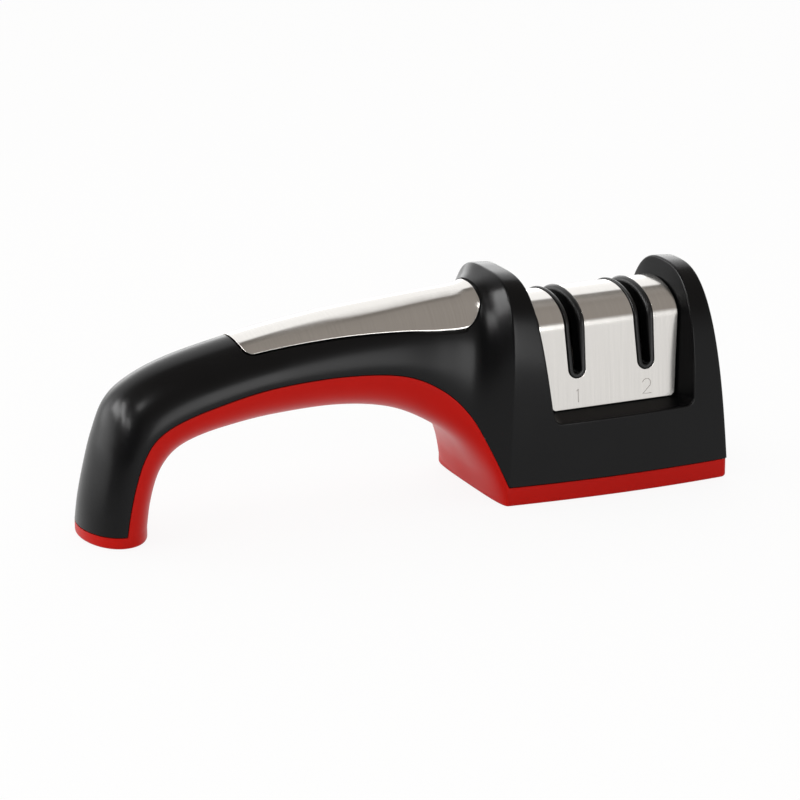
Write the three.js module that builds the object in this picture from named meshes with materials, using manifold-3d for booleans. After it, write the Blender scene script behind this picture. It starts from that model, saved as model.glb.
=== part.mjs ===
// A two-stage pull-through knife sharpener. A black moulded shell forms the arched handle and a head with
// two fins. A stainless cover is bent over the saddle between the fins, and a blade is drawn along Y
// through one of two slots, in the V of a pair of bevelled wheels that turn freely on a fixed pin.
// A red lower housing closes the shell from below and is the foot of the handle and the base of the head.
// Millimetres. +X runs from the foot of the handle to the head, -Y is the front, +Z is up.
// The origin is on the table, under the middle of the object.

import * as THREE from 'three';
import { mergeVertices } from 'three/addons/utils/BufferGeometryUtils.js';
import Module from 'manifold-3d';

const wasm = await Module();
wasm.setup();

// Overall sizes
const overallLength = 205;
const headLength = 75.2;
const headWidth = 50.5; // at its ends
const sideBow = 1.9; // how far the front and the back swell in their middle
const leftFinHeight = 69;
const rightFinHeight = 65.3;
const leftFinLean = 3.1; // how far each end of the head leans inwards from base to top
const rightFinLean = 4.9;
const leftFinSquareness = 3.8; // exponents of the fins' outlines, where 2 is an ellipse
const rightFinSquareness = 2.7;
const bandHeight = 6.2; // table to the parting line along the head
const footLength = 20;
const footWidth = 31.4;
const soleHeight = 3.8;
const baseOverhang = 2.5; // how far the bowed end of the red base stands ahead of the left fin
const gripWidth = 31.2; // handle, front to back
const ridgeHeight = 64.2; // top of the handle where it meets the head
const fingerRoom = 32.6; // highest point of the handle's underside

// Walls and clearances
const shellWall = 2.6;
const floorWall = 3.2;
const partingGap = 0.3;
const fitGap = 0.2; // between pieces that are assembled and stay put
const runningGap = 0.25; // between a wheel and what it turns on or beside

// Saddle and its stainless cover
const sheet = 0.8;
const saddleTop = 60; // outside of the cover, top
const saddleShoulder = 51; // height where the flat faces start to bend over
const saddleHalfDepth = 15.3; // outside of the cover at the shoulder
const saddleDraft = THREE.MathUtils.degToRad(5.4);
const coverSill = 26.6; // lower edge of the cover
const coverFromLeft = 14.9; // cover's edges above the shoulder, from the ends of the head
const coverFromRight = 14.1;
const coverTaperLeft = 3.6; // how much each edge draws in at the sill
const coverTaperRight = 1.9;
const coverCorner = 2;
const rimTopFromLeft = 9.1; // where the recess cuts the fins' outlines, from the ends of the head
const rimSillFromLeft = 14.7;
const rimTopFromRight = 10.9;
const rimSillFromRight = 12.5;
const recessFocus = 30.5; // the recess draws in towards this height on the middle plane

// Slots and their liners
const coarseSlotFromLeft = 26.5; // middles of the slots, from the ends of the head
const fineSlotFromRight = 25;
const slotHalfWidth = 1.6;
const slotBottom = 37.1;
const lipWidth = 1.4;
const lipFlare = 0.5; // extra half width of the lips at the top
const lipProud = 0.7;
const flangeWidth = 2.2;
const flangeThickness = 1.2;

// Wheels, pins and cradles
const wheelRadius = 9;
const veeRadius = 3.6; // radius of the wheel where the two bevels meet
const veeAboveSlot = 1.1; // the blade reaches the wheels before the slot's bottom
const bevelAngle = THREE.MathUtils.degToRad(20);
const wheelThickness = 4.4;
const axleRadius = 1.5;
const axleOverhang = 0.9;
const washerRadius = 3.3;
const washerThickness = 0.8;
const cradleWall = 2;
const cradleHalfDepth = 9;
const cradleCrown = 4.2; // radius of material round the pin
const cradleFloor = 2.2;
const cradleScrewSpread = 12; // screws from the middle plane
const cradlePostHeight = 7;

// Screws, bosses and pad
const screwRadius = 1.4;
const screwHeadRadius = 2.7;
const screwHeadHeight = 1.7;
const screwPoint = 2;
const bossRadius = 3.6;
const bossGrip = 8; // screw length inside the shell's boss
const baseScrewInset = 8.5; // from the ends of the head
const baseScrewSpread = 17.5; // from the middle plane
const handleScrewFromFoot = 42.5; // from the middle of the foot
const handleScrewFromHead = 37.3;
const handleScrewRecess = 6;
const padLength = 50;
const padWidth = 35;
const padCorner = 5;
const padThickness = 1.3;
const padProud = 0.2;

// Handle inlay
const inlayFromFoot = 38.9; // from the middle of the foot
const inlayFromHead = 3.3;
const inlayLeftHalf = 10.55;
const inlayRightHalf = 13.1;
const inlaySlant = 0.95; // how far the left end draws in from its middle to its corners
const inlayLeftCorner = 2.4;
const inlayRightCorner = 4.6;
const inlayProud = 0.15;

// Smoothness of the round forms
const arcSteps = 20;
const hollowSteps = 10;
const ringsPerStation = 2;
const recessSteps = 30;
const headSteps = 6;
const curveSegments = 6;
const wheelSides = 28;
const pinSides = 12;

// Places worked out from the sizes
const footX = (footLength - overallLength) / 2;
const rimX = overallLength / 2 - headLength;
const endX = overallLength / 2;
const baseBottom = padProud;
const floorTop = baseBottom + floorWall;
const bandTop = bandHeight - partingGap;
const slotPositions = { coarse: rimX + coarseSlotFromLeft, fine: endX - fineSlotFromRight };
const coverLeft = rimX + coverFromLeft;
const coverRight = endX - coverFromRight;
const inlayLeft = footX + inlayFromFoot;
const inlayRight = rimX - inlayFromHead;
const axleHeight = slotBottom + veeAboveSlot - veeRadius;
const lipHalfWidth = slotHalfWidth + lipWidth;
const handleSpan = rimX - footX;
const gripHalfWidth = gripWidth / 2;
// Shares of the way from the head's left end to its right one, and half its width there
const headShares = Array.from({ length: headSteps }, (_, i) => (i + 1) / headSteps);
const headHalf = (share) => headWidth / 2 + 4 * sideBow * share * (1 - share);
const onHandle = (share) => footX + share * handleSpan;

// The handle is lofted through stations from the foot to the head's rim. Each has three points in the XZ
// plane, given from the station's own x: the ridge, the parting line and the underside.
const stations = [
  { x: footX, ridge: [-footLength / 2, soleHeight], parting: [-0.5, soleHeight],
    underside: [footLength / 2, soleHeight], halfWidth: footWidth / 2, top: 2, bottom: 2 },
  { x: footX, ridge: [0.9 - footLength / 2, 11], parting: [0.7, 11],
    underside: [footLength / 2 + 1, 11], halfWidth: footWidth / 2, top: 2, bottom: 2 },
  { x: footX, ridge: [2.9 - footLength / 2, 20.5], parting: [2.6, 19],
    underside: [footLength / 2 + 3, 18], halfWidth: footWidth / 2, top: 2, bottom: 2 },
  { x: footX, ridge: [5.6 - footLength / 2, 30.7], parting: [5.2, 26.4],
    underside: [footLength / 2 + 5.6, 22.4], halfWidth: footWidth / 2, top: 2, bottom: 2 },
  { x: footX, ridge: [9.8 - footLength / 2, 41], parting: [9.2, 32.4],
    underside: [footLength / 2 + 9.6, fingerRoom - 6.7], halfWidth: footWidth / 2, top: 2, bottom: 2 },
  { x: footX, ridge: [17 - footLength / 2, ridgeHeight - 16.9], parting: [16.2, fingerRoom + 4],
    underside: [footLength / 2 + 15.4, fingerRoom - 4.3], halfWidth: gripHalfWidth, top: 2, bottom: 2 },
  { x: onHandle(0.24), ridge: [-8.8, ridgeHeight - 11.6], parting: [0, fingerRoom + 7.8],
    underside: [5.8, fingerRoom - 2.3], halfWidth: gripHalfWidth, top: 2, bottom: 2 },
  { x: onHandle(0.39), ridge: [-4, ridgeHeight - 6.6], parting: [0, fingerRoom + 11.3],
    underside: [3, fingerRoom - 0.5], halfWidth: gripHalfWidth, top: 2, bottom: 2 },
  { x: onHandle(0.58), ridge: [-2, ridgeHeight - 2.9], parting: [0, fingerRoom + 12.3],
    underside: [1.6, fingerRoom - 0.1], halfWidth: gripHalfWidth, top: 2, bottom: 2 },
  { x: rimX - 31, ridge: [0.5, ridgeHeight - 1], parting: [0, fingerRoom + 10.3],
    underside: [0, fingerRoom - 2.9], halfWidth: gripHalfWidth + 0.3, top: 2, bottom: 2.1 },
  { x: rimX - 18.5, ridge: [2.5, ridgeHeight], parting: [0, fingerRoom + 4.5],
    underside: [0.4, fingerRoom - 8.8], halfWidth: gripHalfWidth + 1, top: 2.05, bottom: 2.5 },
  { x: rimX - 10, ridge: [4.4, ridgeHeight + 0.8], parting: [0, fingerRoom - 4],
    underside: [0.2, fingerRoom - 15.6], halfWidth: gripHalfWidth + 2.7, top: 2.2, bottom: 2.8 },
  { x: rimX - 4.6, ridge: [3.6, ridgeHeight + 2.4], parting: [0, 17.6],
    underside: [0.2, 8.2], halfWidth: headWidth / 2 - 3.4, top: 2.7, bottom: 3 },
  { x: rimX, ridge: [leftFinLean, leftFinHeight], parting: [0, bandHeight],
    underside: [-baseOverhang, baseBottom], halfWidth: headWidth / 2, top: leftFinSquareness, bottom: 3 },
];
const lastStation = stations.length - 1;
const curveOf = (pick) => new THREE.SplineCurve(stations.map((s, i) => new THREE.Vector2(...pick(s, i))));
const ridgeLine = curveOf((s) => [s.x + s.ridge[0], s.ridge[1]]);
const partingLine = curveOf((s) => [s.x + s.parting[0], s.parting[1]]);
const undersideLine = curveOf((s) => [s.x + s.underside[0], s.underside[1]]);
const widthLine = curveOf((s, i) => [i, s.halfWidth]);
const topLine = curveOf((s, i) => [i, s.top]);
const bottomLine = curveOf((s, i) => [i, s.bottom]);

function sectionAt(station) {
  const t = station / lastStation;
  return {
    ridge: ridgeLine.getPoint(t),
    parting: partingLine.getPoint(t),
    underside: undersideLine.getPoint(t),
    halfWidth: widthLine.getPoint(t).y,
    top: topLine.getPoint(t).y,
    bottom: bottomLine.getPoint(t).y,
  };
}

// Half a superellipse from the front parting point over the crown to the back one.
function arch(parting, crown, halfWidth, squareness, steps = arcSteps) {
  const points = [];
  for (let i = 0; i <= steps; i += 1) {
    const angle = (Math.PI * i) / steps;
    const across = Math.sign(Math.cos(angle)) * Math.abs(Math.cos(angle)) ** (2 / squareness);
    const rise = Math.abs(Math.sin(angle)) ** (2 / squareness);
    const spot = parting.clone().lerp(crown, rise);
    points.push(new THREE.Vector3(spot.x, -across * halfWidth, spot.y));
  }
  return points;
}

function towards(from, to, distance) {
  return from.clone().add(to.clone().sub(from).setLength(distance));
}

// Solids from geometries, and back again
function solid(geometry) {
  const bare = geometry.clone();
  bare.deleteAttribute('normal');
  bare.deleteAttribute('uv');
  const welded = mergeVertices(bare, 1e-4);
  const corners = Array.from(welded.index.array);
  const place = welded.attributes.position;
  const a = new THREE.Vector3();
  const b = new THREE.Vector3();
  const c = new THREE.Vector3();
  const kept = [];
  let volume = 0;
  for (let i = 0; i < corners.length; i += 3) {
    const [p, q, r] = corners.slice(i, i + 3);
    if (p === q || q === r || r === p) continue;
    kept.push(p, q, r);
    a.fromBufferAttribute(place, p);
    b.fromBufferAttribute(place, q);
    c.fromBufferAttribute(place, r);
    volume += a.dot(b.cross(c));
  }
  if (volume < 0) kept.reverse();
  return new wasm.Manifold(new wasm.Mesh({
    numProp: 3, vertProperties: new Float32Array(place.array), triVerts: new Uint32Array(kept),
  }));
}

function geometryOf(body) {
  const { vertProperties, triVerts } = body.getMesh();
  const geometry = new THREE.BufferGeometry();
  geometry.setAttribute('position', new THREE.BufferAttribute(new Float32Array(vertProperties), 3));
  geometry.setIndex(new THREE.BufferAttribute(new Uint32Array(triVerts), 1));
  geometry.computeVertexNormals();
  return geometry;
}

const joined = (bodies) => bodies.reduce((all, body) => all.add(body));
const without = (body, cuts) => cuts.reduce((left, cut) => left.subtract(cut), body);

// A closed skin through rings of equally many points, with a fan of triangles on each end.
function loft(rings) {
  const count = rings[0].length;
  const points = rings.flat();
  const index = [];
  for (let ring = 0; ring < rings.length - 1; ring += 1) {
    for (let i = 0; i < count; i += 1) {
      const a = ring * count + i;
      const b = ring * count + ((i + 1) % count);
      index.push(a, b, b + count, a, b + count, a + count);
    }
  }
  [0, rings.length - 1].forEach((ring) => {
    const middle = points.length;
    points.push(rings[ring].reduce((sum, p) => sum.add(p), new THREE.Vector3()).divideScalar(count));
    for (let i = 0; i < count; i += 1) {
      const a = ring * count + i;
      const b = ring * count + ((i + 1) % count);
      if (ring === 0) index.push(b, a, middle);
      else index.push(a, b, middle);
    }
  });
  const geometry = new THREE.BufferGeometry().setFromPoints(points);
  geometry.setIndex(index);
  return solid(geometry);
}

// Prisms: a Shape drawn in the plane that the axis leaves, from one level to another.
function prism(axis, shape, from, to) {
  const geometry = new THREE.ExtrudeGeometry(shape, { depth: to - from, bevelEnabled: false, curveSegments });
  geometry.translate(0, 0, from);
  if (axis === 'x') geometry.applyMatrix4(new THREE.Matrix4().set(0, 0, 1, 0, 1, 0, 0, 0, 0, 1, 0, 0, 0, 0, 0, 1));
  if (axis === 'y') geometry.applyMatrix4(new THREE.Matrix4().set(1, 0, 0, 0, 0, 0, 1, 0, 0, 1, 0, 0, 0, 0, 0, 1));
  return solid(geometry);
}

function rod(axis, radius, from, to, [first, second], sides = pinSides) {
  const outline = new THREE.Shape();
  for (let i = 0; i < sides; i += 1) {
    const angle = (2 * Math.PI * i) / sides;
    const x = first + radius * Math.cos(angle);
    const y = second + radius * Math.sin(angle);
    if (i === 0) outline.moveTo(x, y);
    else outline.lineTo(x, y);
  }
  return prism(axis, outline, from, to);
}

function block([x0, y0, z0], [x1, y1, z1]) {
  const geometry = new THREE.BoxGeometry(x1 - x0, y1 - y0, z1 - z0);
  geometry.translate((x0 + x1) / 2, (y0 + y1) / 2, (z0 + z1) / 2);
  return solid(geometry);
}

function roundedRectangle(x0, x1, halfDepth, corner) {
  const shape = new THREE.Shape();
  shape.moveTo(x0 + corner, -halfDepth);
  shape.lineTo(x1 - corner, -halfDepth);
  shape.absarc(x1 - corner, corner - halfDepth, corner, -Math.PI / 2, 0);
  shape.lineTo(x1, halfDepth - corner);
  shape.absarc(x1 - corner, halfDepth - corner, corner, 0, Math.PI / 2);
  shape.lineTo(x0 + corner, halfDepth);
  shape.absarc(x0 + corner, halfDepth - corner, corner, Math.PI / 2, Math.PI);
  shape.lineTo(x0, corner - halfDepth);
  shape.absarc(x0 + corner, corner - halfDepth, corner, Math.PI, 1.5 * Math.PI);
  return shape;
}

// A radius whose many-sided circle still clears a round of the given radius.
const clearing = (radius, sides) => radius / Math.cos(Math.PI / sides);

function stationSteps(first, last) {
  const count = Math.round((last - first) * ringsPerStation);
  return Array.from({ length: count + 1 }, (_, i) => first + ((last - first) * i) / count);
}

// Upper housing: handle, flare and head as one loft
function upperRing(station, inset) {
  const s = sectionAt(station);
  const crown = towards(s.ridge, s.parting, inset);
  return arch(s.parting, crown, s.halfWidth - inset, s.top);
}

function endRing() {
  const parting = new THREE.Vector2(endX, bandHeight);
  const crown = new THREE.Vector2(endX - rightFinLean, rightFinHeight);
  return arch(parting, crown, headWidth / 2, rightFinSquareness);
}

function upperForm(inset = 0) {
  const rings = stationSteps(0, lastStation).map((station) => upperRing(station, inset));
  const left = rings[rings.length - 1];
  const right = endRing();
  const swell = (spot, share) => spot.setY((spot.y * headHalf(share)) / headHalf(0));
  headShares.forEach((share) => {
    rings.push(left.map((p, i) => swell(p.clone().lerp(right[i], share), share)));
  });
  return loft(rings);
}

// Lower housing: the handle's underside, the sole of the foot and the base of the head
function lowerRing(station, drop = 0, inset = 0) {
  const s = sectionAt(station);
  const parting = towards(s.parting, s.underside, partingGap);
  const ring = arch(parting, s.underside, s.halfWidth - inset, s.bottom);
  return ring.map((p) => p.setZ(p.z - drop));
}

function lowerForm() {
  const strip = loft([
    lowerRing(0, soleHeight / 2, fitGap),
    ...stationSteps(0, lastStation).map((station) => lowerRing(station)),
  ]);
  const sole = new THREE.Shape();
  sole.absellipse(footX, 0, footLength / 2, footWidth / 2, 0, 2 * Math.PI);
  const bow = lowerRing(lastStation).map((p) => new THREE.Vector2(p.x, p.y));
  const wall = (side) => headShares.map(
    (share) => new THREE.Vector2(rimX + share * headLength, side * headHalf(share)));
  const slab = new THREE.Shape([...bow, ...wall(1), ...wall(-1).reverse()]);
  return joined([
    strip,
    prism('z', sole, 0, soleHeight - partingGap),
    prism('z', slab, baseBottom, bandTop),
  ]);
}

// The hollow that the two halves of the handle share
function handleHollow() {
  const rings = stations.slice(1, -2).map((_, i) => {
    const s = sectionAt(i + 1);
    const halfWidth = s.halfWidth - shellWall;
    const over = arch(s.parting, towards(s.ridge, s.parting, shellWall), halfWidth, s.top, hollowSteps);
    const under = arch(s.parting, towards(s.underside, s.parting, shellWall), halfWidth, s.bottom, hollowSteps);
    return [...over, ...under.reverse().slice(1, -1)];
  });
  return loft(rings);
}

// Saddle outline in the YZ plane, drawn inwards from the outside of the cover by inset
function saddleFace(inset, height) {
  const run = Math.max(saddleShoulder - height, 0) * Math.tan(saddleDraft);
  return saddleHalfDepth + run - inset;
}

function saddlePath(shape, inset, foot, backwards = false) {
  const halfDepth = saddleHalfDepth - inset;
  const rise = saddleTop - saddleShoulder - inset;
  const side = backwards ? 1 : -1;
  shape.lineTo(side * saddleFace(inset, foot), foot);
  shape.lineTo(side * halfDepth, saddleShoulder);
  if (backwards) shape.absellipse(0, saddleShoulder, halfDepth, rise, 0, Math.PI, false);
  else shape.absellipse(0, saddleShoulder, halfDepth, rise, Math.PI, 0, true);
  shape.lineTo(-side * saddleFace(inset, foot), foot);
}

function saddleBlock(inset, foot) {
  const shape = new THREE.Shape();
  shape.moveTo(-saddleFace(inset, foot), foot);
  saddlePath(shape, inset, foot);
  return shape;
}

function saddleStrip(outer, inner, foot) {
  const shape = new THREE.Shape();
  shape.moveTo(-saddleFace(outer, foot), foot);
  saddlePath(shape, outer, foot);
  saddlePath(shape, inner, foot, true);
  return shape;
}

// The recess between the fins: a funnel whose floor is the saddle under the cover
function onFin(y, z, x) {
  const share = (x - rimX) / headLength;
  const reach = THREE.MathUtils.lerp(leftFinHeight, rightFinHeight, share) - bandHeight;
  const squareness = THREE.MathUtils.lerp(leftFinSquareness, rightFinSquareness, share);
  const inside = (t) => {
    const across = Math.abs(y * t) / headHalf(share);
    const up = Math.max(recessFocus + (z - recessFocus) * t - bandHeight, 0) / reach;
    return across ** squareness + up ** squareness < 1;
  };
  let low = 0;
  let high = 4;
  for (let i = 0; i < 40; i += 1) {
    const middle = (low + high) / 2;
    if (inside(middle)) low = middle;
    else high = middle;
  }
  return low;
}

function recess() {
  const floorInset = sheet + fitGap;
  const path = new THREE.Shape();
  const sill = coverSill - fitGap;
  path.moveTo(-saddleFace(floorInset, sill), sill);
  saddlePath(path, floorInset, sill);
  const overshoot = 1.5;
  const rings = path.getSpacedPoints(recessSteps).map((spot) => {
    const up = THREE.MathUtils.clamp((spot.y - sill) / (saddleShoulder - sill), 0, 1);
    const high = THREE.MathUtils.clamp((spot.y - sill) / (saddleTop - sill), 0, 1);
    const floor = [
      coverLeft + coverTaperLeft * (1 - up) - fitGap,
      coverRight - coverTaperRight * (1 - up) + fitGap,
    ];
    const rim = [
      rimX + THREE.MathUtils.lerp(rimSillFromLeft, rimTopFromLeft, high),
      endX - THREE.MathUtils.lerp(rimSillFromRight, rimTopFromRight, high),
    ];
    const wall = [0, 1].map((side) => {
      const t = onFin(spot.x, spot.y, rim[side]);
      const reach = 1 + (t - 1) * overshoot;
      const x = floor[side] + (rim[side] - floor[side]) * overshoot;
      return new THREE.Vector3(x, spot.x * reach, recessFocus + (spot.y - recessFocus) * reach);
    });
    const inner = floor.map((x) => new THREE.Vector3(x, spot.x, spot.y));
    return [inner[0], inner[1], wall[1], wall[0]];
  });
  return loft(rings);
}

// Hollow of the head: a lower room for the base of the cradles and an upper one under the saddle
function headHollow() {
  const upper = saddleBlock(sheet + fitGap + shellWall, 0);
  const left = rimX + leftFinLean + shellWall;
  const right = endX - rightFinLean - shellWall;
  const halfDepth = headWidth / 2 - shellWall;
  const ceiling = coverSill - 2 * shellWall;
  return joined([
    prism('x', upper, left, right),
    block([left, -halfDepth, 0], [right, halfDepth, ceiling]),
  ]);
}

// Front outline of a slot, with a round lower end, drawn in the XZ plane
function slotOutline(x, bottom, halfWidth, flare) {
  const shape = new THREE.Shape();
  const top = saddleTop + 10;
  shape.moveTo(x + halfWidth + flare, top);
  shape.lineTo(x - halfWidth - flare, top);
  shape.lineTo(x - halfWidth - flare, saddleShoulder);
  shape.lineTo(x - halfWidth, bottom + halfWidth);
  shape.absarc(x, bottom + halfWidth, halfWidth, Math.PI, 2 * Math.PI);
  shape.lineTo(x + halfWidth + flare, saddleShoulder);
  return shape;
}

function throughSlot(x, grow) {
  const bottom = slotBottom - lipWidth - grow;
  return prism('y', slotOutline(x, bottom, lipHalfWidth + grow, lipFlare), -headWidth, headWidth);
}

function slotLiner(x) {
  const seat = sheet + fitGap + shellWall + fitGap;
  const foot = slotBottom - lipWidth - flangeWidth;
  const lips = prism('x', saddleStrip(-lipProud, seat + flangeThickness, 0), x - headLength, x + headLength)
    .intersect(throughSlot(x, 0));
  const flange = prism('x', saddleStrip(seat, seat + flangeThickness, foot),
    x - lipHalfWidth - flangeWidth, x + lipHalfWidth + flangeWidth);
  const gap = prism('y', slotOutline(x, slotBottom, slotHalfWidth, 0), -headWidth, headWidth);
  return lips.add(flange).subtract(gap);
}

// Inlay outline seen from above: wider towards the head, with a bowed left end and round corners.
function inlayOutline(grow) {
  const leftHalf = inlayLeftHalf + grow;
  const rightHalf = inlayRightHalf + grow;
  const left = inlayLeft - grow;
  const right = inlayRight + grow;
  const corner = inlayRightCorner + grow;
  const bowEnd = left + inlaySlant;
  const start = bowEnd + inlayLeftCorner;
  const shoulder = leftHalf - inlayLeftCorner;
  const shape = new THREE.Shape();
  shape.moveTo(start, -leftHalf);
  shape.lineTo(right - corner, -rightHalf);
  shape.absarc(right - corner, corner - rightHalf, corner, -Math.PI / 2, 0);
  shape.lineTo(right, rightHalf - corner);
  shape.absarc(right - corner, rightHalf - corner, corner, 0, Math.PI / 2);
  shape.lineTo(start, leftHalf);
  shape.quadraticCurveTo(bowEnd + inlayLeftCorner / 4, leftHalf, bowEnd, shoulder);
  shape.quadraticCurveTo(left, shoulder / 3, left, 0);
  shape.quadraticCurveTo(left, -shoulder / 3, bowEnd, -shoulder);
  shape.quadraticCurveTo(bowEnd + inlayLeftCorner / 4, -leftHalf, start, -leftHalf);
  return shape;
}

const inlayPrism = (grow) => prism('z', inlayOutline(grow), fingerRoom, leftFinHeight + 5);

// Where the screws stand: [x, y]
const sides = [-1, 1];
const baseScrews = [rimX + baseScrewInset, endX - baseScrewInset]
  .flatMap((x) => sides.map((side) => [x, side * baseScrewSpread]));
const cradleScrews = Object.values(slotPositions)
  .flatMap((x) => sides.map((side) => [x, side * cradleScrewSpread]));
const handleScrews = [[footX + handleScrewFromFoot, 0], [rimX - handleScrewFromHead, 0]];

function stationNear(x) {
  let low = 0;
  let high = lastStation;
  for (let i = 0; i < 40; i += 1) {
    const middle = (low + high) / 2;
    if (sectionAt(middle).underside.x < x) low = middle;
    else high = middle;
  }
  return sectionAt(low);
}

const baseSeat = baseBottom + screwHeadHeight + fitGap;
const cradleSeat = padThickness + 2 * fitGap + screwHeadHeight;
const handleSeat = (x) => stationNear(x).underside.y + handleScrewRecess;
const handleParting = (x) => stationNear(x).parting.y;
const baseReach = bandHeight + bossGrip;
const cradleBase = bandTop + fitGap;
const screwBore = screwRadius + fitGap;
const headBore = screwHeadRadius + fitGap;

function bodyShell() {
  const form = upperForm();
  const roof = coverSill - 2 * shellWall;
  const posts = [
    ...baseScrews.map((at) => rod('z', bossRadius, bandHeight, roof + 1, at)),
    ...handleScrews.map((at) => rod('z', bossRadius, handleParting(at[0]) + partingGap, leftFinHeight, at)),
  ];
  const bores = [
    ...baseScrews.map((at) => rod('z', screwBore, 0, baseReach + fitGap, at)),
    ...handleScrews.map((at) => rod('z', screwBore, 0, handleParting(at[0]) + bossGrip + fitGap, at)),
  ];
  const inlaySeat = inlayPrism(fitGap).subtract(upperForm(sheet + fitGap));
  const slots = Object.values(slotPositions).map((x) => throughSlot(x, fitGap));
  const hollow = without(form, [handleHollow(), headHollow()]);
  return without(hollow.add(joined(posts).intersect(form)), [recess(), ...slots, inlaySeat, ...bores]);
}

function baseCover() {
  const form = lowerForm();
  const wall = shellWall;
  const pocket = prism('z', roundedRectangle(rimX + 2 * wall, endX - wall, headWidth / 2 - wall, coverCorner),
    floorTop, leftFinHeight);
  const posts = [
    ...baseScrews.map((at) => rod('z', bossRadius, baseBottom, bandTop, at)),
    ...cradleScrews.map((at) => rod('z', bossRadius, floorTop - 1, bandTop, at)),
    ...handleScrews.map((at) => rod('z', bossRadius, 0, handleParting(at[0]) - partingGap, at)),
  ];
  const bores = [...baseScrews, ...cradleScrews, ...handleScrews]
    .map((at) => rod('z', screwBore, 0, leftFinHeight, at));
  const heads = [
    ...baseScrews.map((at) => rod('z', headBore, 0, baseSeat, at)),
    ...cradleScrews.map((at) => rod('z', headBore, 0, cradleSeat, at)),
    ...handleScrews.map((at) => rod('z', headBore, 0, handleSeat(at[0]), at)),
  ];
  const padSeat = prism('z', padOutline(fitGap), 0, padThickness + fitGap);
  const hollow = without(form, [handleHollow(), pocket]);
  return without(hollow.add(joined(posts).intersect(form)), [...bores, ...heads, padSeat]);
}

function padOutline(grow) {
  const middle = (rimX + endX) / 2;
  return roundedRectangle(middle - padLength / 2 - grow, middle + padLength / 2 + grow,
    padWidth / 2 + grow, padCorner + grow);
}

function headCover() {
  const outline = new THREE.Shape();
  const left = coverLeft + coverTaperLeft;
  const right = coverRight - coverTaperRight;
  const top = saddleTop + 10;
  outline.moveTo(left + coverCorner, coverSill);
  outline.lineTo(right - coverCorner, coverSill);
  outline.quadraticCurveTo(right, coverSill, right, coverSill + coverCorner);
  outline.lineTo(coverRight, saddleShoulder);
  outline.lineTo(coverRight, top);
  outline.lineTo(coverLeft, top);
  outline.lineTo(coverLeft, saddleShoulder);
  outline.lineTo(left, coverSill + coverCorner);
  outline.quadraticCurveTo(left, coverSill, left + coverCorner, coverSill);
  const bent = prism('x', saddleStrip(0, sheet, 0), 0, overallLength)
    .intersect(prism('y', outline, -headWidth, headWidth));
  return without(bent, Object.values(slotPositions).map((x) => throughSlot(x, fitGap)));
}

function handleInlay() {
  return upperForm(-inlayProud).subtract(upperForm(sheet)).intersect(inlayPrism(0));
}

// Wheel mechanism. Places along the pin, from the slot's middle outwards.
const wheelInner = runningGap / 2;
const wheelOuter = wheelInner + wheelThickness;
const washerInner = wheelOuter + runningGap;
const washerOuter = washerInner + washerThickness;
const cradleInner = washerOuter + fitGap;
const cradleOuter = cradleInner + cradleWall;

function turned(outline, segments) {
  const geometry = new THREE.LatheGeometry(outline.map(([r, y]) => new THREE.Vector2(r, y)), segments);
  geometry.rotateZ(-Math.PI / 2);
  return geometry;
}

function wheel(x, side) {
  const bore = clearing(axleRadius + runningGap, wheelSides);
  const bevel = (wheelRadius - veeRadius) * Math.tan(bevelAngle);
  const land = 0.4;
  const outline = [
    [bore, wheelInner],
    [veeRadius, wheelInner],
    [wheelRadius, wheelInner + bevel],
    [wheelRadius, wheelOuter - land],
    [wheelRadius - land, wheelOuter],
    [bore, wheelOuter],
    [bore, wheelInner],
  ];
  const geometry = turned(outline.map(([r, y]) => [r, y * side]), wheelSides);
  return solid(geometry.translate(x, 0, axleHeight));
}

function washer(x, side) {
  const bore = clearing(axleRadius + runningGap, pinSides);
  const outline = [
    [bore, washerInner],
    [washerRadius, washerInner],
    [washerRadius, washerOuter],
    [bore, washerOuter],
    [bore, washerInner],
  ];
  const geometry = turned(outline.map(([r, y]) => [r, y * side]), pinSides);
  return solid(geometry.translate(x, 0, axleHeight));
}

function axle(x) {
  const end = cradleOuter + axleOverhang;
  const chamfer = 0.4;
  const outline = [
    [0, -end],
    [axleRadius - chamfer, -end],
    [axleRadius, chamfer - end],
    [axleRadius, end - chamfer],
    [axleRadius - chamfer, end],
    [0, end],
  ];
  return solid(turned(outline, pinSides).translate(x, 0, axleHeight));
}

function cradle(x) {
  const base = cradleBase;
  const floor = base + cradleFloor;
  const cheek = new THREE.Shape();
  cheek.moveTo(-cradleHalfDepth, base);
  cheek.lineTo(cradleHalfDepth, base);
  cheek.lineTo(cradleHalfDepth, floor);
  cheek.lineTo(cradleCrown, axleHeight);
  cheek.absarc(0, axleHeight, cradleCrown, 0, Math.PI);
  cheek.lineTo(-cradleHalfDepth, floor);
  const reach = cradleScrewSpread + bossRadius;
  const posts = sides.map((side) => rod('z', bossRadius, base, base + cradlePostHeight, [x, side * cradleScrewSpread]));
  const bores = sides.map((side) => rod('z', screwBore, 0, base + cradlePostHeight - cradleWall / 2,
    [x, side * cradleScrewSpread]));
  const pinBore = rod('x', clearing(axleRadius + fitGap, pinSides), x - headLength, x + headLength, [0, axleHeight]);
  const body = joined([
    block([x - cradleOuter, -reach, base], [x + cradleOuter, reach, floor]),
    prism('x', cheek, x - cradleOuter, x - cradleInner),
    prism('x', cheek, x + cradleInner, x + cradleOuter),
    ...posts,
  ]);
  return without(body, [pinBore, ...bores]);
}

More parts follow.
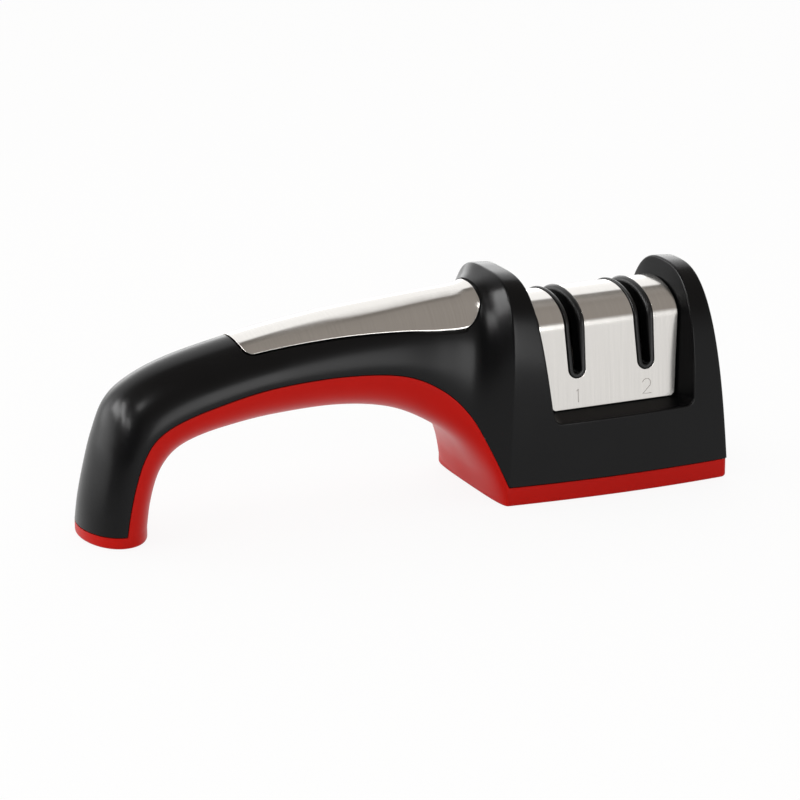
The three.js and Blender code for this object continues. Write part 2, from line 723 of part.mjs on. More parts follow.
// A pan-head screw that points up
function screw([x, y], seat, tip) {
  const under = seat - fitGap;
  const outline = [
    [0, -screwHeadHeight],
    [screwHeadRadius * 0.6, -screwHeadHeight],
    [screwHeadRadius, -screwHeadHeight * 0.4],
    [screwHeadRadius, 0],
    [screwRadius, 0],
    [screwRadius, tip - under - screwPoint],
    [0, tip - under],
  ].map(([r, z]) => new THREE.Vector2(r, z));
  const geometry = new THREE.LatheGeometry(outline, pinSides).rotateX(Math.PI / 2);
  return solid(geometry.translate(x, y, under));
}

function gripPad() {
  return prism('z', padOutline(0), 0, padThickness);
}

const finish = (color, roughness, metalness) => new THREE.MeshStandardMaterial({ color, roughness, metalness });
const blackAbs = finish(0x1f2022, 0.4, 0);
const softRed = finish(0xb01e19, 0.6, 0);
const stainless = finish(0xc9c7c2, 0.32, 1);
const polishedPin = finish(0xb9bbbd, 0.2, 1);
const greyNylon = finish(0x4a4c4f, 0.6, 0);
const diamondGrit = finish(0x6e6c66, 0.8, 0.4);
const whiteCeramic = finish(0xeeeae0, 0.55, 0);
const zincScrew = finish(0x9fa2a4, 0.35, 1);
const blackRubber = finish(0x161616, 0.9, 0);

const sharpener = new THREE.Group();

function place(name, body, material) {
  const mesh = new THREE.Mesh(geometryOf(body), material);
  mesh.name = name;
  sharpener.add(mesh);
}

place('body_shell', bodyShell(), blackAbs);
place('base_cover', baseCover(), softRed);
place('head_cover', headCover(), stainless);
place('handle_inlay', handleInlay(), stainless);
place('grip_pad', gripPad(), blackRubber);
const abrasives = { coarse: diamondGrit, fine: whiteCeramic };
Object.entries(slotPositions).forEach(([stage, x]) => {
  place(`${stage}_slot_liner`, slotLiner(x), blackAbs);
  place(`${stage}_cradle`, cradle(x), greyNylon);
  place(`${stage}_axle`, axle(x), polishedPin);
  Object.entries({ left: -1, right: 1 }).forEach(([hand, side]) => {
    place(`${stage}_wheel_${hand}`, wheel(x, side), abrasives[stage]);
    place(`${stage}_washer_${hand}`, washer(x, side), polishedPin);
  });
});
baseScrews.forEach((at, i) => place(`base_screw_${i + 1}`, screw(at, baseSeat, baseReach), zincScrew));
handleScrews.forEach((at, i) => {
  const tip = handleParting(at[0]) + bossGrip;
  place(`handle_screw_${i + 1}`, screw(at, handleSeat(at[0]), tip), zincScrew);
});
cradleScrews.forEach((at, i) => {
  const tip = cradleBase + cradlePostHeight - cradleWall;
  place(`cradle_screw_${i + 1}`, screw(at, cradleSeat, tip), zincScrew);
});

export default sharpener;
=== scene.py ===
# %% [markdown]
# # A hand-held knife sharpener
# A black moulded body runs from an arched handle into a head with two fins. A bent stainless cover lies in
# the saddle between the fins, with two slots for the blade, and a red moulded base closes the body from below.
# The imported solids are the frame: they give every piece its place. The surfaces that show are modelled
# again here, finer and with rounded edges, from the same section formulas. All lengths below are in
# millimetres and are turned to metres when a mesh is made.

# %% Load the frame
import math
import bmesh
import bpy
import numpy as np
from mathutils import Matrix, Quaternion, Vector


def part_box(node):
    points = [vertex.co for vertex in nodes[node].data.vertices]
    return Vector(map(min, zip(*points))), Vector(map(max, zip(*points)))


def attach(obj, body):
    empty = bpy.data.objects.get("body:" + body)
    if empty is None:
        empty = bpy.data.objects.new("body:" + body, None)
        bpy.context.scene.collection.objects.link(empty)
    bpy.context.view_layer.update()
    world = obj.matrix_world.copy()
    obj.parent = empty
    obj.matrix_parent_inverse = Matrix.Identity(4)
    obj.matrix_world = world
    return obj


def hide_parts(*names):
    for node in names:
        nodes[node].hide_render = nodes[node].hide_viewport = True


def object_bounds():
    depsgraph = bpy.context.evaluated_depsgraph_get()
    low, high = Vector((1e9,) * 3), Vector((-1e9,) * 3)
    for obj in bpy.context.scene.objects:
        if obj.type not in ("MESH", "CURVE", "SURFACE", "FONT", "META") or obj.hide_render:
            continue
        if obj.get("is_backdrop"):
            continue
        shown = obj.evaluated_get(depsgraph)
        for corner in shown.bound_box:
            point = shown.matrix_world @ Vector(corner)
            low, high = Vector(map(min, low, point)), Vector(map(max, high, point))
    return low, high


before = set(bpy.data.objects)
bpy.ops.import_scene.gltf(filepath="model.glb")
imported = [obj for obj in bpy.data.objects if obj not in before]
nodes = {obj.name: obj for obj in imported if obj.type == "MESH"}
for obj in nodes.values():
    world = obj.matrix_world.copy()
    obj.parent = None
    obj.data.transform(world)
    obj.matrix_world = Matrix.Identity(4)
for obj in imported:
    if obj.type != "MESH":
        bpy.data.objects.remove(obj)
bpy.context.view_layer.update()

MM = 0.001

# %% [markdown]
# ## The camera and the studio
# The camera stands to the left of the front and looks slightly down, with a long lens, as for a catalogue
# picture. The light is a room with a pale floor, a bright ceiling and a dim warm wall between them. Brushed
# steel shows exactly those three zones, so the room matters more here than single lamps.

# %% Camera
cam_data = bpy.data.cameras.new("catalogue_camera")
cam_data.sensor_width = 36
cam_data.lens = 176.4
camera = bpy.data.objects.new("catalogue_camera", cam_data)
bpy.context.scene.collection.objects.link(camera)
aim = Vector((1.94, 0, 30.28)) * MM
back = Vector((-0.3875, -0.8755, 0.2888)).normalized()
camera.location = aim + back * 1.2
camera.rotation_euler = (-back).to_track_quat("-Z", "Y").to_euler()
bpy.context.scene.camera = camera
bpy.context.scene.view_settings.view_transform = "Standard"
print("camera at", [round(v, 3) for v in camera.location])


# %% [markdown]
# ## One helper for every node tree
# A shader or geometry tree is a list of nodes with settings and links. One small function is enough: a value
# that is a socket becomes a link, and any other value is set on the input.

# %% Node helper and colours
def add(tree, kind, inputs=None, **settings):
    node = tree.nodes.new(kind)
    for name, value in settings.items():
        setattr(node, name, value)
    for name, value in (inputs or {}).items():
        if isinstance(value, bpy.types.NodeSocket):
            tree.links.new(value, node.inputs[name])
        else:
            node.inputs[name].default_value = value
    return node


def linear(hex_code):
    parts = [int(hex_code[i:i + 2], 16) / 255 for i in (0, 2, 4)]
    return [c / 12.92 if c <= 0.04045 else ((c + 0.055) / 1.055) ** 2.4 for c in parts] + [1.0]


# %% Room light
def ramp(tree, factor, stops, full):
    node = add(tree, "ShaderNodeValToRGB", {"Fac": factor})
    band = node.color_ramp.elements
    while len(band) < len(stops):
        band.new(0.5)
    for stop, (place, level, tint) in zip(band, stops):
        stop.position = place
        stop.color = [level / full * c for c in linear(tint)[:3]] + [1]
    return node.outputs["Color"]


world = bpy.data.worlds.new("studio_room")
bpy.context.scene.world = world
world.use_nodes = True
sky = world.node_tree
sky.nodes.clear()
direction = add(sky, "ShaderNodeTexCoord")
part = add(sky, "ShaderNodeSeparateXYZ", {0: direction.outputs["Generated"]})
forward = add(sky, "ShaderNodeMath", {0: part.outputs["Y"], 1: -1.0}, operation="MULTIPLY")
swing = add(sky, "ShaderNodeMath", {0: part.outputs["Z"], 1: forward.outputs[0]}, operation="ARCTAN2")
arch = add(sky, "ShaderNodeMapRange", {"Value": swing.outputs[0], "From Max": math.pi})

# %% [markdown]
# An arch is read from the front horizon (0 degrees) over the top to the back one (180 degrees). There is one
# for the left, one for the middle and one for the right. The edge of the white ceiling behind the top isn't
# straight: it comes forward a little right of the middle and goes back again further right.

# %% Three arches
WARM, WHITE, FULL = "fff6ed", "ffffff", 4.0
ARCHES = {
    "left": [(0, 0.12, WHITE), (40, 0.12, WHITE), (75, 0.3, WARM), (124, 0.28, WARM), (142, 1.35, WHITE),
             (152, 1.5, WHITE), (165, 3.1, WHITE), (180, 3.4, WHITE)],
    "middle": [(0, 0.5, WHITE), (15, 0.5, WHITE), (36, 0.33, WARM), (75, 0.36, WARM), (104, 0.34, WARM),
               (124, 0.28, WARM), (140, 1.2, WHITE), (150, 1.2, WHITE), (165, 0.65, WHITE), (180, 0.6, WHITE)],
    "right": [(0, 1.0, WHITE), (15, 0.95, WHITE), (36, 0.37, WARM), (75, 0.37, WARM), (104, 0.34, WARM),
              (114, 0.2, WARM), (118, 0.2, WARM), (123, 1.28, WHITE), (150, 1.32, WHITE), (160, 1.35, WHITE),
              (166, 2.65, WHITE), (180, 2.75, WHITE)],
}
EDGE_LEAN = [(0, 16, WHITE), (0.2, 16, WHITE), (0.32, 34, WHITE), (0.34, 34, WHITE), (0.38, 5, WHITE)]
lean = ramp(sky, part.outputs["X"], EDGE_LEAN, 34)
lean = add(sky, "ShaderNodeMapRange", {"Value": lean, "To Min": -16 / 180, "To Max": 18 / 180})
overhead = ramp(sky, arch.outputs[0], [(60 / 180, 0, WHITE), (95 / 180, 1, WHITE), (130 / 180, 1, WHITE), (150 / 180, 0, WHITE)], 1)
leaning = add(sky, "ShaderNodeMath", {0: lean.outputs[0], 1: overhead, 2: arch.outputs[0]}, operation="MULTIPLY_ADD")
light = {name: ramp(sky, leaning.outputs[0], [(d / 180, level, tint) for d, level, tint in zones], FULL)
         for name, zones in ARCHES.items()}
to_middle = add(sky, "ShaderNodeMapRange", {"Value": part.outputs["X"], "From Min": -0.5, "From Max": -0.3})
to_right = add(sky, "ShaderNodeMapRange", {"Value": part.outputs["X"], "From Min": -0.3, "From Max": 0.05})
room = add(sky, "ShaderNodeMix", {"Factor": to_middle.outputs[0], 6: light["left"], 7: light["middle"]}, data_type="RGBA")
room = add(sky, "ShaderNodeMix", {"Factor": to_right.outputs[0], 6: room.outputs[2], 7: light["right"]}, data_type="RGBA")
shine = add(sky, "ShaderNodeBackground", {"Color": room.outputs[2], "Strength": FULL})
add(sky, "ShaderNodeOutputWorld", {"Surface": shine.outputs[0]})
print("room arches", {name: len(zones) for name, zones in ARCHES.items()})


# %% Lamps
def soft_box(name, place, target, size, power, roll=0, glossy=True, diffuse=True):
    data = bpy.data.lights.new(name, "AREA")
    data.shape = "RECTANGLE"
    data.size, data.size_y = size
    data.energy = power
    lamp = bpy.data.objects.new(name, data)
    lamp.location = Vector(place)
    facing = (Vector(target) - lamp.location).to_track_quat("-Z", "Y")
    lamp.rotation_euler = (facing @ Quaternion((0, 0, 1), math.radians(roll))).to_euler()
    lamp.visible_glossy, lamp.visible_diffuse = glossy, diffuse
    bpy.context.scene.collection.objects.link(lamp)


soft_box("front_fill", (-0.6, -1.6, 0.9), (0, 0, 0.03), (1.4, 1.0), 7.5, glossy=False)
soft_box("ceiling_fill", (0, 0.2, 1.8), (0, 0, 0), (2.4, 2.4), 15, glossy=False)
soft_box("left_fill", (-1.3, -0.05, 0.4), (0, 0, 0.02), (0.8, 0.7), 4.2, glossy=False)
soft_box("front_card", (0.165, -0.9, 0.2), (0.02, 0, 0.04), (0.43, 0.4), 2.4, diffuse=False)
soft_box("side_panel", (-0.645, 0.095, 0.42), (0.028, -0.015, 0.063), (0.43, 0.05), 2.0, roll=-36, diffuse=False)
soft_box("bend_box", (-0.659, 0.349, 0.381), (-0.092, -0.005, 0.041), (0.36, 0.18), 2.2, diffuse=False)
soft_box("side_box", (-0.744, -0.2, 0.42), (0.025, -0.015, 0.057), (0.18, 0.06), 0.9, roll=-45, diffuse=False)
soft_box("corner_lamp", (-0.463, -0.229, 0.713), (-0.086, -0.011, 0.042), (0.14, 0.14), 0.8, diffuse=False)

# %% Floor
bpy.ops.mesh.primitive_plane_add(size=12)
floor = bpy.context.object
floor.name = "floor"
floor.location.z = -0.1 * MM
paper = bpy.data.materials.new("white_paper_sweep")
paper.use_nodes = True
tree = paper.node_tree
tree.nodes.clear()
ray = add(tree, "ShaderNodeLightPath")
seen = add(tree, "ShaderNodeMath", {0: ray.outputs["Is Camera Ray"], 1: ray.outputs["Is Glossy Ray"]}, operation="MAXIMUM")
seen = add(tree, "ShaderNodeMath", {0: seen.outputs[0], 1: ray.outputs["Is Transmission Ray"]}, operation="MAXIMUM")
keep = add(tree, "ShaderNodeMath", {0: seen.outputs[0], 1: 0.9}, operation="MULTIPLY")
matt = add(tree, "ShaderNodeBsdfDiffuse", {"Color": linear("f4f4f4")})
glow = add(tree, "ShaderNodeEmission", {"Color": (1, 1, 1, 1), "Strength": 1.0})
mixed = add(tree, "ShaderNodeMixShader", {0: keep.outputs[0], 1: matt.outputs[0], 2: glow.outputs[0]})
add(tree, "ShaderNodeOutputMaterial", {"Surface": mixed.outputs[0]})
floor.data.materials.append(paper)
floor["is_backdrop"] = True
print("floor", floor.dimensions.x, "m")


# %% [markdown]
# ## Finishes
# Every finish starts from the real material. Moulded plastic takes the fine grain of the eroded steel mould,
# brushed sheet has hairlines that all run one way, and the wheels carry a coat of grit. Patterns use object
# coordinates in metres, so a grain of 0.3 mm is a noise scale of 1 / 0.0003.

# %% Shared pattern pieces
def finish(name, surface):
    made = bpy.data.materials.new(name)
    made.use_nodes = True
    tree = made.node_tree
    shader = tree.nodes["Principled BSDF"]
    for key, value in surface.items():
        shader.inputs[key].default_value = value
    where = add(tree, "ShaderNodeTexCoord").outputs["Object"]
    return made, tree, shader, where


def grain(tree, where, size, stretch=(1, 1, 1), detail=2.0):
    spread = add(tree, "ShaderNodeMapping", {"Vector": where, "Scale": stretch})
    return add(tree, "ShaderNodeTexNoise", {"Vector": spread.outputs[0], "Scale": 1 / (size * MM), "Detail": detail})


def between(tree, factor, low, high):
    return add(tree, "ShaderNodeMapRange", {"Value": factor, "From Min": 0.3, "From Max": 0.7, "To Min": low, "To Max": high})


def relief(tree, shader, height, depth, strength):
    bump = add(tree, "ShaderNodeBump", {"Height": height, "Distance": depth * MM, "Strength": strength})
    tree.links.new(bump.outputs[0], shader.inputs["Normal"])


def blend_colour(tree, shader, factor, first, second):
    mix = add(tree, "ShaderNodeMix", {"Factor": factor}, data_type="RGBA")
    mix.inputs[6].default_value = linear(first)
    mix.inputs[7].default_value = linear(second)
    tree.links.new(mix.outputs[2], shader.inputs["Base Color"])


# %% [markdown]
# ### Plastics
# The body is ABS from a lightly eroded mould: nearly black, with a satin gloss that widens every highlight.
# The red base is softer to the touch and duller. Both get a fine grain in the normal and a slow change of
# gloss, so that large faces aren't dead even.

# %% Plastics
black_abs, tree, shader, where = finish("black_abs_satin_moulded", {"IOR": 1.46, "Specular IOR Level": 0.2})
fine = grain(tree, where, 0.35)
cloud = grain(tree, where, 18, detail=1.0)
tree.links.new(between(tree, cloud.outputs[0], 0.22, 0.27).outputs[0], shader.inputs["Roughness"])
blend_colour(tree, shader, cloud.outputs[0], "080809", "0a0a0b")
relief(tree, shader, fine.outputs[0], 0.02, 0.12)

# A copy of the black plastic that reflects less: painted shade, which darkens the walls of the recess and of the
# slots.
painted_shade_black, tree, shader, where = finish("black_abs_painted_shade", {"IOR": 1.46, "Specular IOR Level": 0.06})
fine = grain(tree, where, 0.35)
tree.links.new(between(tree, fine.outputs[0], 0.3, 0.36).outputs[0], shader.inputs["Roughness"])
blend_colour(tree, shader, fine.outputs[0], "080809", "0a0a0b")

red_soft, tree, shader, where = finish("red_abs_soft_moulded", {"IOR": 1.46, "Specular IOR Level": 0.11})
fine = grain(tree, where, 0.35)
cloud = grain(tree, where, 14, detail=1.0)
tree.links.new(between(tree, cloud.outputs[0], 0.3, 0.36).outputs[0], shader.inputs["Roughness"])
blend_colour(tree, shader, cloud.outputs[0], "b61108", "bc130a")
relief(tree, shader, fine.outputs[0], 0.02, 0.15)

lip_abs, tree, shader, where = finish("black_abs_satin_lips", {"IOR": 1.46, "Specular IOR Level": 0.36})
cloud = grain(tree, where, 3, detail=1.0)
tree.links.new(between(tree, cloud.outputs[0], 0.3, 0.38).outputs[0], shader.inputs["Roughness"])
blend_colour(tree, shader, cloud.outputs[0], "101010", "141415")

nylon, tree, shader, where = finish("grey_nylon_moulded", {"Specular IOR Level": 0.4})
fine = grain(tree, where, 0.6)
tree.links.new(between(tree, fine.outputs[0], 0.5, 0.62).outputs[0], shader.inputs["Roughness"])
blend_colour(tree, shader, fine.outputs[0], "3a3b3e", "434448")
relief(tree, shader, fine.outputs[0], 0.03, 0.2)

rubber, tree, shader, where = finish("black_rubber_pad", {"Specular IOR Level": 0.3})
fine = grain(tree, where, 0.5)
tree.links.new(between(tree, fine.outputs[0], 0.75, 0.9).outputs[0], shader.inputs["Roughness"])
blend_colour(tree, shader, fine.outputs[0], "121212", "1a1a1a")
relief(tree, shader, fine.outputs[0], 0.05, 0.4)
print("plastics", [m.name for m in (black_abs, red_soft, lip_abs, nylon, rubber)])

# %% [markdown]
# ### Metals and abrasives
# The cover and the inlay are stainless sheet, brushed from front to back. The hairlines are under a tenth of
# a millimetre apart on the real sheet. Here they are drawn about 0.25 mm apart so that they still show.
# The coarse wheels carry diamond grit in nickel, and the fine ones are fired ceramic.


# %% Metals
def brushed(name, low, high, roughness, dark, pale, one_way=0.0):
    """one_way: how much wider a highlight spreads across the hairlines than along them."""
    made, tree, shader, where = finish(name, {"Metallic": 1.0, "Anisotropic": one_way})
    if one_way:
        across = add(tree, "ShaderNodeCombineXYZ", {"X": 1.0})
        tree.links.new(across.outputs[0], shader.inputs["Tangent"])
    hair = grain(tree, where, 0.25, stretch=(1, 0.012, 0.012), detail=3.0)
    wide = grain(tree, where, 2.2, stretch=(1, 0.05, 0.05), detail=2.0)
    mean = add(tree, "ShaderNodeMath", {0: hair.outputs[0], 1: wide.outputs[0]}, operation="ADD")
    half = add(tree, "ShaderNodeMath", {0: mean.outputs[0], 1: 0.5}, operation="MULTIPLY")
    tree.links.new(between(tree, half.outputs[0], low, high).outputs[0], shader.inputs["Roughness"])
    blend_colour(tree, shader, between(tree, hair.outputs[0], 0, 1).outputs[0], dark, pale)
    relief(tree, shader, hair.outputs[0], 0.01, roughness)
    return made


stainless = brushed("stainless_sheet_brushed", 0.125, 0.145, 0.02, "d4d1cd", "dad7d3", one_way=0.75)
etched = brushed("stainless_engraved_stroke", 0.42, 0.5, 0.04, "938f8a", "9e9a95")
zinc = brushed("zinc_plated_screw", 0.3, 0.4, 0.05, "a8abae", "b4b7b9")
pin_steel = brushed("ground_steel_pin", 0.16, 0.24, 0.04, "b9babb", "c8c9ca")

diamond, tree, shader, where = finish("diamond_grit_in_nickel", {"Metallic": 0.6})
grit = grain(tree, where, 0.16, detail=4.0)
tree.links.new(between(tree, grit.outputs[0], 0.5, 0.75).outputs[0], shader.inputs["Roughness"])
blend_colour(tree, shader, grit.outputs[0], "5d5a54", "8b8780")
relief(tree, shader, grit.outputs[0], 0.12, 0.8)

ceramic, tree, shader, where = finish("grey_ceramic_fired", {"Specular IOR Level": 0.45})
grit = grain(tree, where, 0.2, detail=3.0)
tree.links.new(between(tree, grit.outputs[0], 0.5, 0.62).outputs[0], shader.inputs["Roughness"])
blend_colour(tree, shader, grit.outputs[0], "3a3836", "474542")
relief(tree, shader, grit.outputs[0], 0.04, 0.4)
print("metals and abrasives", len(bpy.data.materials))


# %% [markdown]
# ## Mesh helpers
# Every moulded surface here is a stack of rings with equally many points, so one function turns a block of
# points into faces. Pieces made of several blocks share their edge points, and merging by distance sews them.
# An edge is rounded by a short curve between a point on each side of it, with the edge as its control point.

# %% Mesh helpers
def sheet_faces(block, closed=False):
    rows, count = block.shape[:2]
    index = np.arange(rows * count).reshape(rows, count)
    if closed:
        index = np.concatenate([index, index[:, :1]], axis=1)
    a, b, c, d = index[:-1, :-1], index[:-1, 1:], index[1:, 1:], index[1:, :-1]
    return np.stack([a, b, c, d], axis=-1).reshape(-1, 4)


def sew(name, blocks, loops=()):
    """blocks: grids as (points, closed) or (points, closed, finish number). loops: flat faces as point lists."""
    points, faces, coats, start = [], [], [], 0
    for block, closed, *coat in blocks:
        faces.extend((sheet_faces(block, closed) + start).tolist())
        coats.extend((coat or [0]) * (len(faces) - len(coats)))
        points.append(block.reshape(-1, 3))
        start += block.shape[0] * block.shape[1]
    for loop in loops:
        faces.append(list(range(start, start + len(loop))))
        points.append(np.asarray(loop))
        start += len(loop)
    mesh = bpy.data.meshes.new(name)
    mesh.from_pydata((np.concatenate(points) * MM).tolist(), [], faces)
    mesh.polygons.foreach_set("material_index", coats + [0] * (len(faces) - len(coats)))
    work = bmesh.new()
    work.from_mesh(mesh)
    bmesh.ops.remove_doubles(work, verts=work.verts, dist=2e-6)
    bmesh.ops.dissolve_degenerate(work, edges=work.edges, dist=1e-7)
    bmesh.ops.recalc_face_normals(work, faces=work.faces)
    work.to_mesh(mesh)
    work.free()
    made = bpy.data.objects.new(name, mesh)
    bpy.context.scene.collection.objects.link(made)
    return made


def rounded(before, edge, after, steps):
    t = np.linspace(0, 1, steps + 1).reshape(-1, *[1] * before.ndim)
    return (1 - t) ** 2 * before + 2 * t * (1 - t) * edge + t ** 2 * after


def edge_steps(length, count):
    """Steps from 0 to 1 over a length, crowded at both ends."""
    near = np.array([0, 0.015, 0.04, 0.09, 0.16, 0.24, 0.33, 0.5, 0.9]) / length
    return np.concatenate([near, np.linspace(near[-1], 1 - near[-1], count)[1:-1], 1 - near[::-1]])


def edge_drop(distance, radius):
    """How far a rounded edge has dropped at a distance from the rim."""
    short = np.clip(radius - distance, 0, radius)
    return radius - np.sqrt(radius ** 2 - short ** 2)


def apply_modifiers(piece):
    graph = bpy.context.evaluated_depsgraph_get()
    done = bpy.data.meshes.new_from_object(piece.evaluated_get(graph))
    piece.modifiers.clear()
    piece.data = done


def hand_over(piece, body, slot, materials, *stands_for, angle=32):
    for material in materials:
        piece.data.materials.append(material)
    piece.data.shade_smooth()
    piece.data.set_sharp_from_angle(angle=math.radians(angle))
    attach(piece, body)
    if stands_for:
        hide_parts(*stands_for)
    print(piece.name, "faces", len(piece.data.polygons))


# %% [markdown]
# ## The sections of the handle
# The handle and its flare are one loft through fourteen stations from the foot to the left fin. Each station
# has three points in the XZ plane: on the ridge, on the parting line and on the underside. Between them runs
# half a superellipse, whose exponent grows from 2 on the round grip to 3.8 on the square-shouldered fin.

# %% Stations and their curves
STATIONS = np.array([
    # ridge x, z      parting x, z    underside x, z   half width, top and bottom exponents
    [-102.5, 3.8, -93.0, 3.8, -82.5, 3.8, 15.7, 2, 2],
    [-101.6, 11, -91.8, 11, -81.5, 11, 15.7, 2, 2],
    [-99.6, 20.5, -89.9, 19, -79.5, 18, 15.7, 2, 2],
    [-96.9, 30.7, -87.3, 26.4, -76.9, 22.4, 15.7, 2, 2],
    [-92.7, 41, -83.3, 32.4, -72.9, 25.9, 15.7, 2, 2],
    [-85.5, 47.3, -76.3, 36.6, -67.1, 28.3, 15.6, 2, 2],
    [-72.55, 52.6, -63.75, 40.4, -57.95, 30.3, 15.6, 2, 2],
    [-49.78, 57.6, -45.78, 43.9, -42.78, 32.1, 15.6, 2, 2],
    [-25.02, 61.3, -23.02, 44.9, -21.42, 32.5, 15.6, 2, 2],
    [-3.2, 63.2, -3.7, 42.9, -3.7, 29.7, 15.9, 2, 2.1],
    [11.3, 64.2, 8.8, 37.1, 9.2, 23.8, 16.6, 2.05, 2.5],
    [21.7, 65.0, 17.3, 28.6, 17.5, 17.0, 18.3, 2.2, 2.8],
    [26.3, 66.6, 22.7, 17.6, 22.9, 8.2, 21.85, 2.7, 3],
    [30.4, 69.0, 27.3, 6.2, 24.8, 1.0, 25.25, 3.8, 3],
])
LAST = len(STATIONS) - 1


def sections(t):
    """Catmull-Rom curves through the stations, for an array of station numbers."""
    t = np.clip(np.asarray(t, float), 0, LAST)
    k = np.minimum(t.astype(int), LAST - 1)
    w = (t - k)[..., None]
    p0, p1 = STATIONS[np.maximum(k - 1, 0)], STATIONS[k]
    p2, p3 = STATIONS[k + 1], STATIONS[np.minimum(k + 2, LAST)]
    v0, v1 = (p2 - p0) / 2, (p3 - p1) / 2
    return ((2 * p1 - 2 * p2 + v0 + v1) * w ** 3 + (3 * p2 - 3 * p1 - 2 * v0 - v1) * w ** 2 + v0 * w + p1)


def spread(parting, crown, half, exponent, count, dense=1600):
    """Points of a half superellipse from front to back, evenly spaced along it."""
    angle = np.linspace(0, np.pi, dense)
    across = np.sign(np.cos(angle)) * np.abs(np.cos(angle)) ** (2 / exponent)
    rise = np.abs(np.sin(angle)) ** (2 / exponent)
    line = np.stack([parting[0] + (crown[0] - parting[0]) * rise, -across * half,
                     parting[1] + (crown[1] - parting[1]) * rise], axis=1)
    run = np.concatenate([[0], np.cumsum(np.linalg.norm(np.diff(line, axis=0), axis=1))])
    at = np.linspace(0, run[-1], count)
    return np.stack([np.interp(at, run, line[:, i]) for i in range(3)], axis=1)


AROUND = 128
PARTING_GAP = 0.3
upper_ring = lambda s: spread(s[2:4], s[0:2], s[6], s[7], AROUND + 1)


def lower_ring(s):
    drop = s[4:6] - s[2:4]
    return spread(s[2:4] + drop / np.linalg.norm(drop) * PARTING_GAP, s[4:6], s[6], s[8], AROUND + 1)


per_station = np.linspace(0, LAST, 11 * LAST + 1)
upper_rings = np.array([upper_ring(s) for s in sections(per_station)])
lower_rings = np.array([lower_ring(s) for s in sections(per_station)])
print("handle rings", upper_rings.shape, lower_rings.shape)

# %% [markdown]
# ## The head between its fins
# The head is ruled between two outlines: the square-shouldered left fin and the rounder, lower right one.
# Both lean in, and the front and the back swell a little between them. A point on the head is given by h, the share of the way from the left end to the right, and by
# the share of the outline's length from the front to the back.

# %% Head surface
LEFT_X, RIGHT_X, BAND, HALF, BOW = 27.3, 102.5, 6.2, 25.25, 1.9
LEFT_LEAN, RIGHT_LEAN = 3.1, -4.9
LEFT_TOP, RIGHT_TOP = 69.0, 65.3
ticks = np.linspace(0, 1, 2001)
left_fin = spread((LEFT_X, BAND), (LEFT_X + LEFT_LEAN, LEFT_TOP), HALF, 3.8, len(ticks), dense=9001)
right_fin = spread((RIGHT_X, BAND), (RIGHT_X + RIGHT_LEAN, RIGHT_TOP), HALF, 2.7, len(ticks), dense=9001)
ARCH = np.linalg.norm(np.diff((left_fin + right_fin) / 2, axis=0), axis=1).sum()


def along_fin(fin, share):
    return np.stack([np.interp(share, ticks, fin[:, i]) for i in range(3)], axis=-1)


def head_point(h, share):
    a, b = along_fin(left_fin, share), along_fin(right_fin, share)
    h = np.asarray(h)[..., None]
    swell = 1 + 4 * BOW / HALF * h * (1 - h)
    return (a + (b - a) * h) * np.concatenate([np.ones_like(swell), swell, np.ones_like(swell)], axis=-1)


def head_share(x, share):
    a, b = along_fin(left_fin, share)[..., 0], along_fin(right_fin, share)[..., 0]
    return (x - a) / (b - a)


print("fin outline", round(ARCH, 1), "mm long")

# %% [markdown]
# ## The saddle
# The saddle's section is two flat faces with a little draft and part of an ellipse over the top, which starts
# in line with the faces. Measured along the section, the saddle unrolls to a flat sheet, which makes it easy
# to lay out the slots. The whole saddle rises a little to the right.

# %% Saddle surface
SADDLE_TOP, BEND_MIDDLE, SADDLE_HALF, DRAFT = 60.0, 51.0, 15.3, math.tan(math.radians(5.4))
SILL, RISE = 26.05, 0.008
start = math.atan(DRAFT * (SADDLE_TOP - BEND_MIDDLE) / SADDLE_HALF)
curve = np.linspace(np.pi - start, start, 241)
bend = np.stack([SADDLE_HALF * np.cos(curve), BEND_MIDDLE + (SADDLE_TOP - BEND_MIDDLE) * np.sin(curve)], axis=1)
SHOULDER = bend[0, 1]
foot_y = bend[-1, 0] + (SHOULDER - SILL) * DRAFT
saddle = np.concatenate([[[-foot_y, SILL]], bend, [[foot_y, SILL]]])
step = np.linalg.norm(np.diff(saddle, axis=0), axis=1)
saddle_run = np.concatenate([[0], np.cumsum(step)])
SADDLE = saddle_run[-1]
FACE = step[0]
tangent = np.gradient(saddle, saddle_run, axis=0)
tangent /= np.linalg.norm(tangent, axis=1)[:, None]


def saddle_point(x, along, out=0.0):
    """x, the distance along the section from the front sill, and the height above the steel."""
    y, z, ty, tz = (np.interp(along, saddle_run, v) for v in (*saddle.T, *tangent.T))
    size = np.hypot(ty, tz)
    shape = np.broadcast_shapes(np.shape(x), np.shape(along), np.shape(out))
    z = z + out * ty / size + RISE * (np.asarray(x) - 65)
    return np.stack([np.broadcast_to(v, shape) for v in (x, y - out * tz / size, z)], axis=-1)


def at_height(z):
    return (z - SILL) / (SHOULDER - SILL) * FACE


print("saddle section", round(SADDLE, 1), "mm, flat face", round(FACE, 1), "mm")

# %% [markdown]
# ## Body shell
# The black body is one thin shell: the handle's rings, a rounded edge at each fin, the arched outside, the
# recess with its rounded rim, and the saddle under the steel. The recess is a closed line on the arched
# surface, joined point by point to a smaller closed line on the saddle. Solidify gives the wall.

# %% Lines round the recess
SIDE, FRONT = AROUND, 48


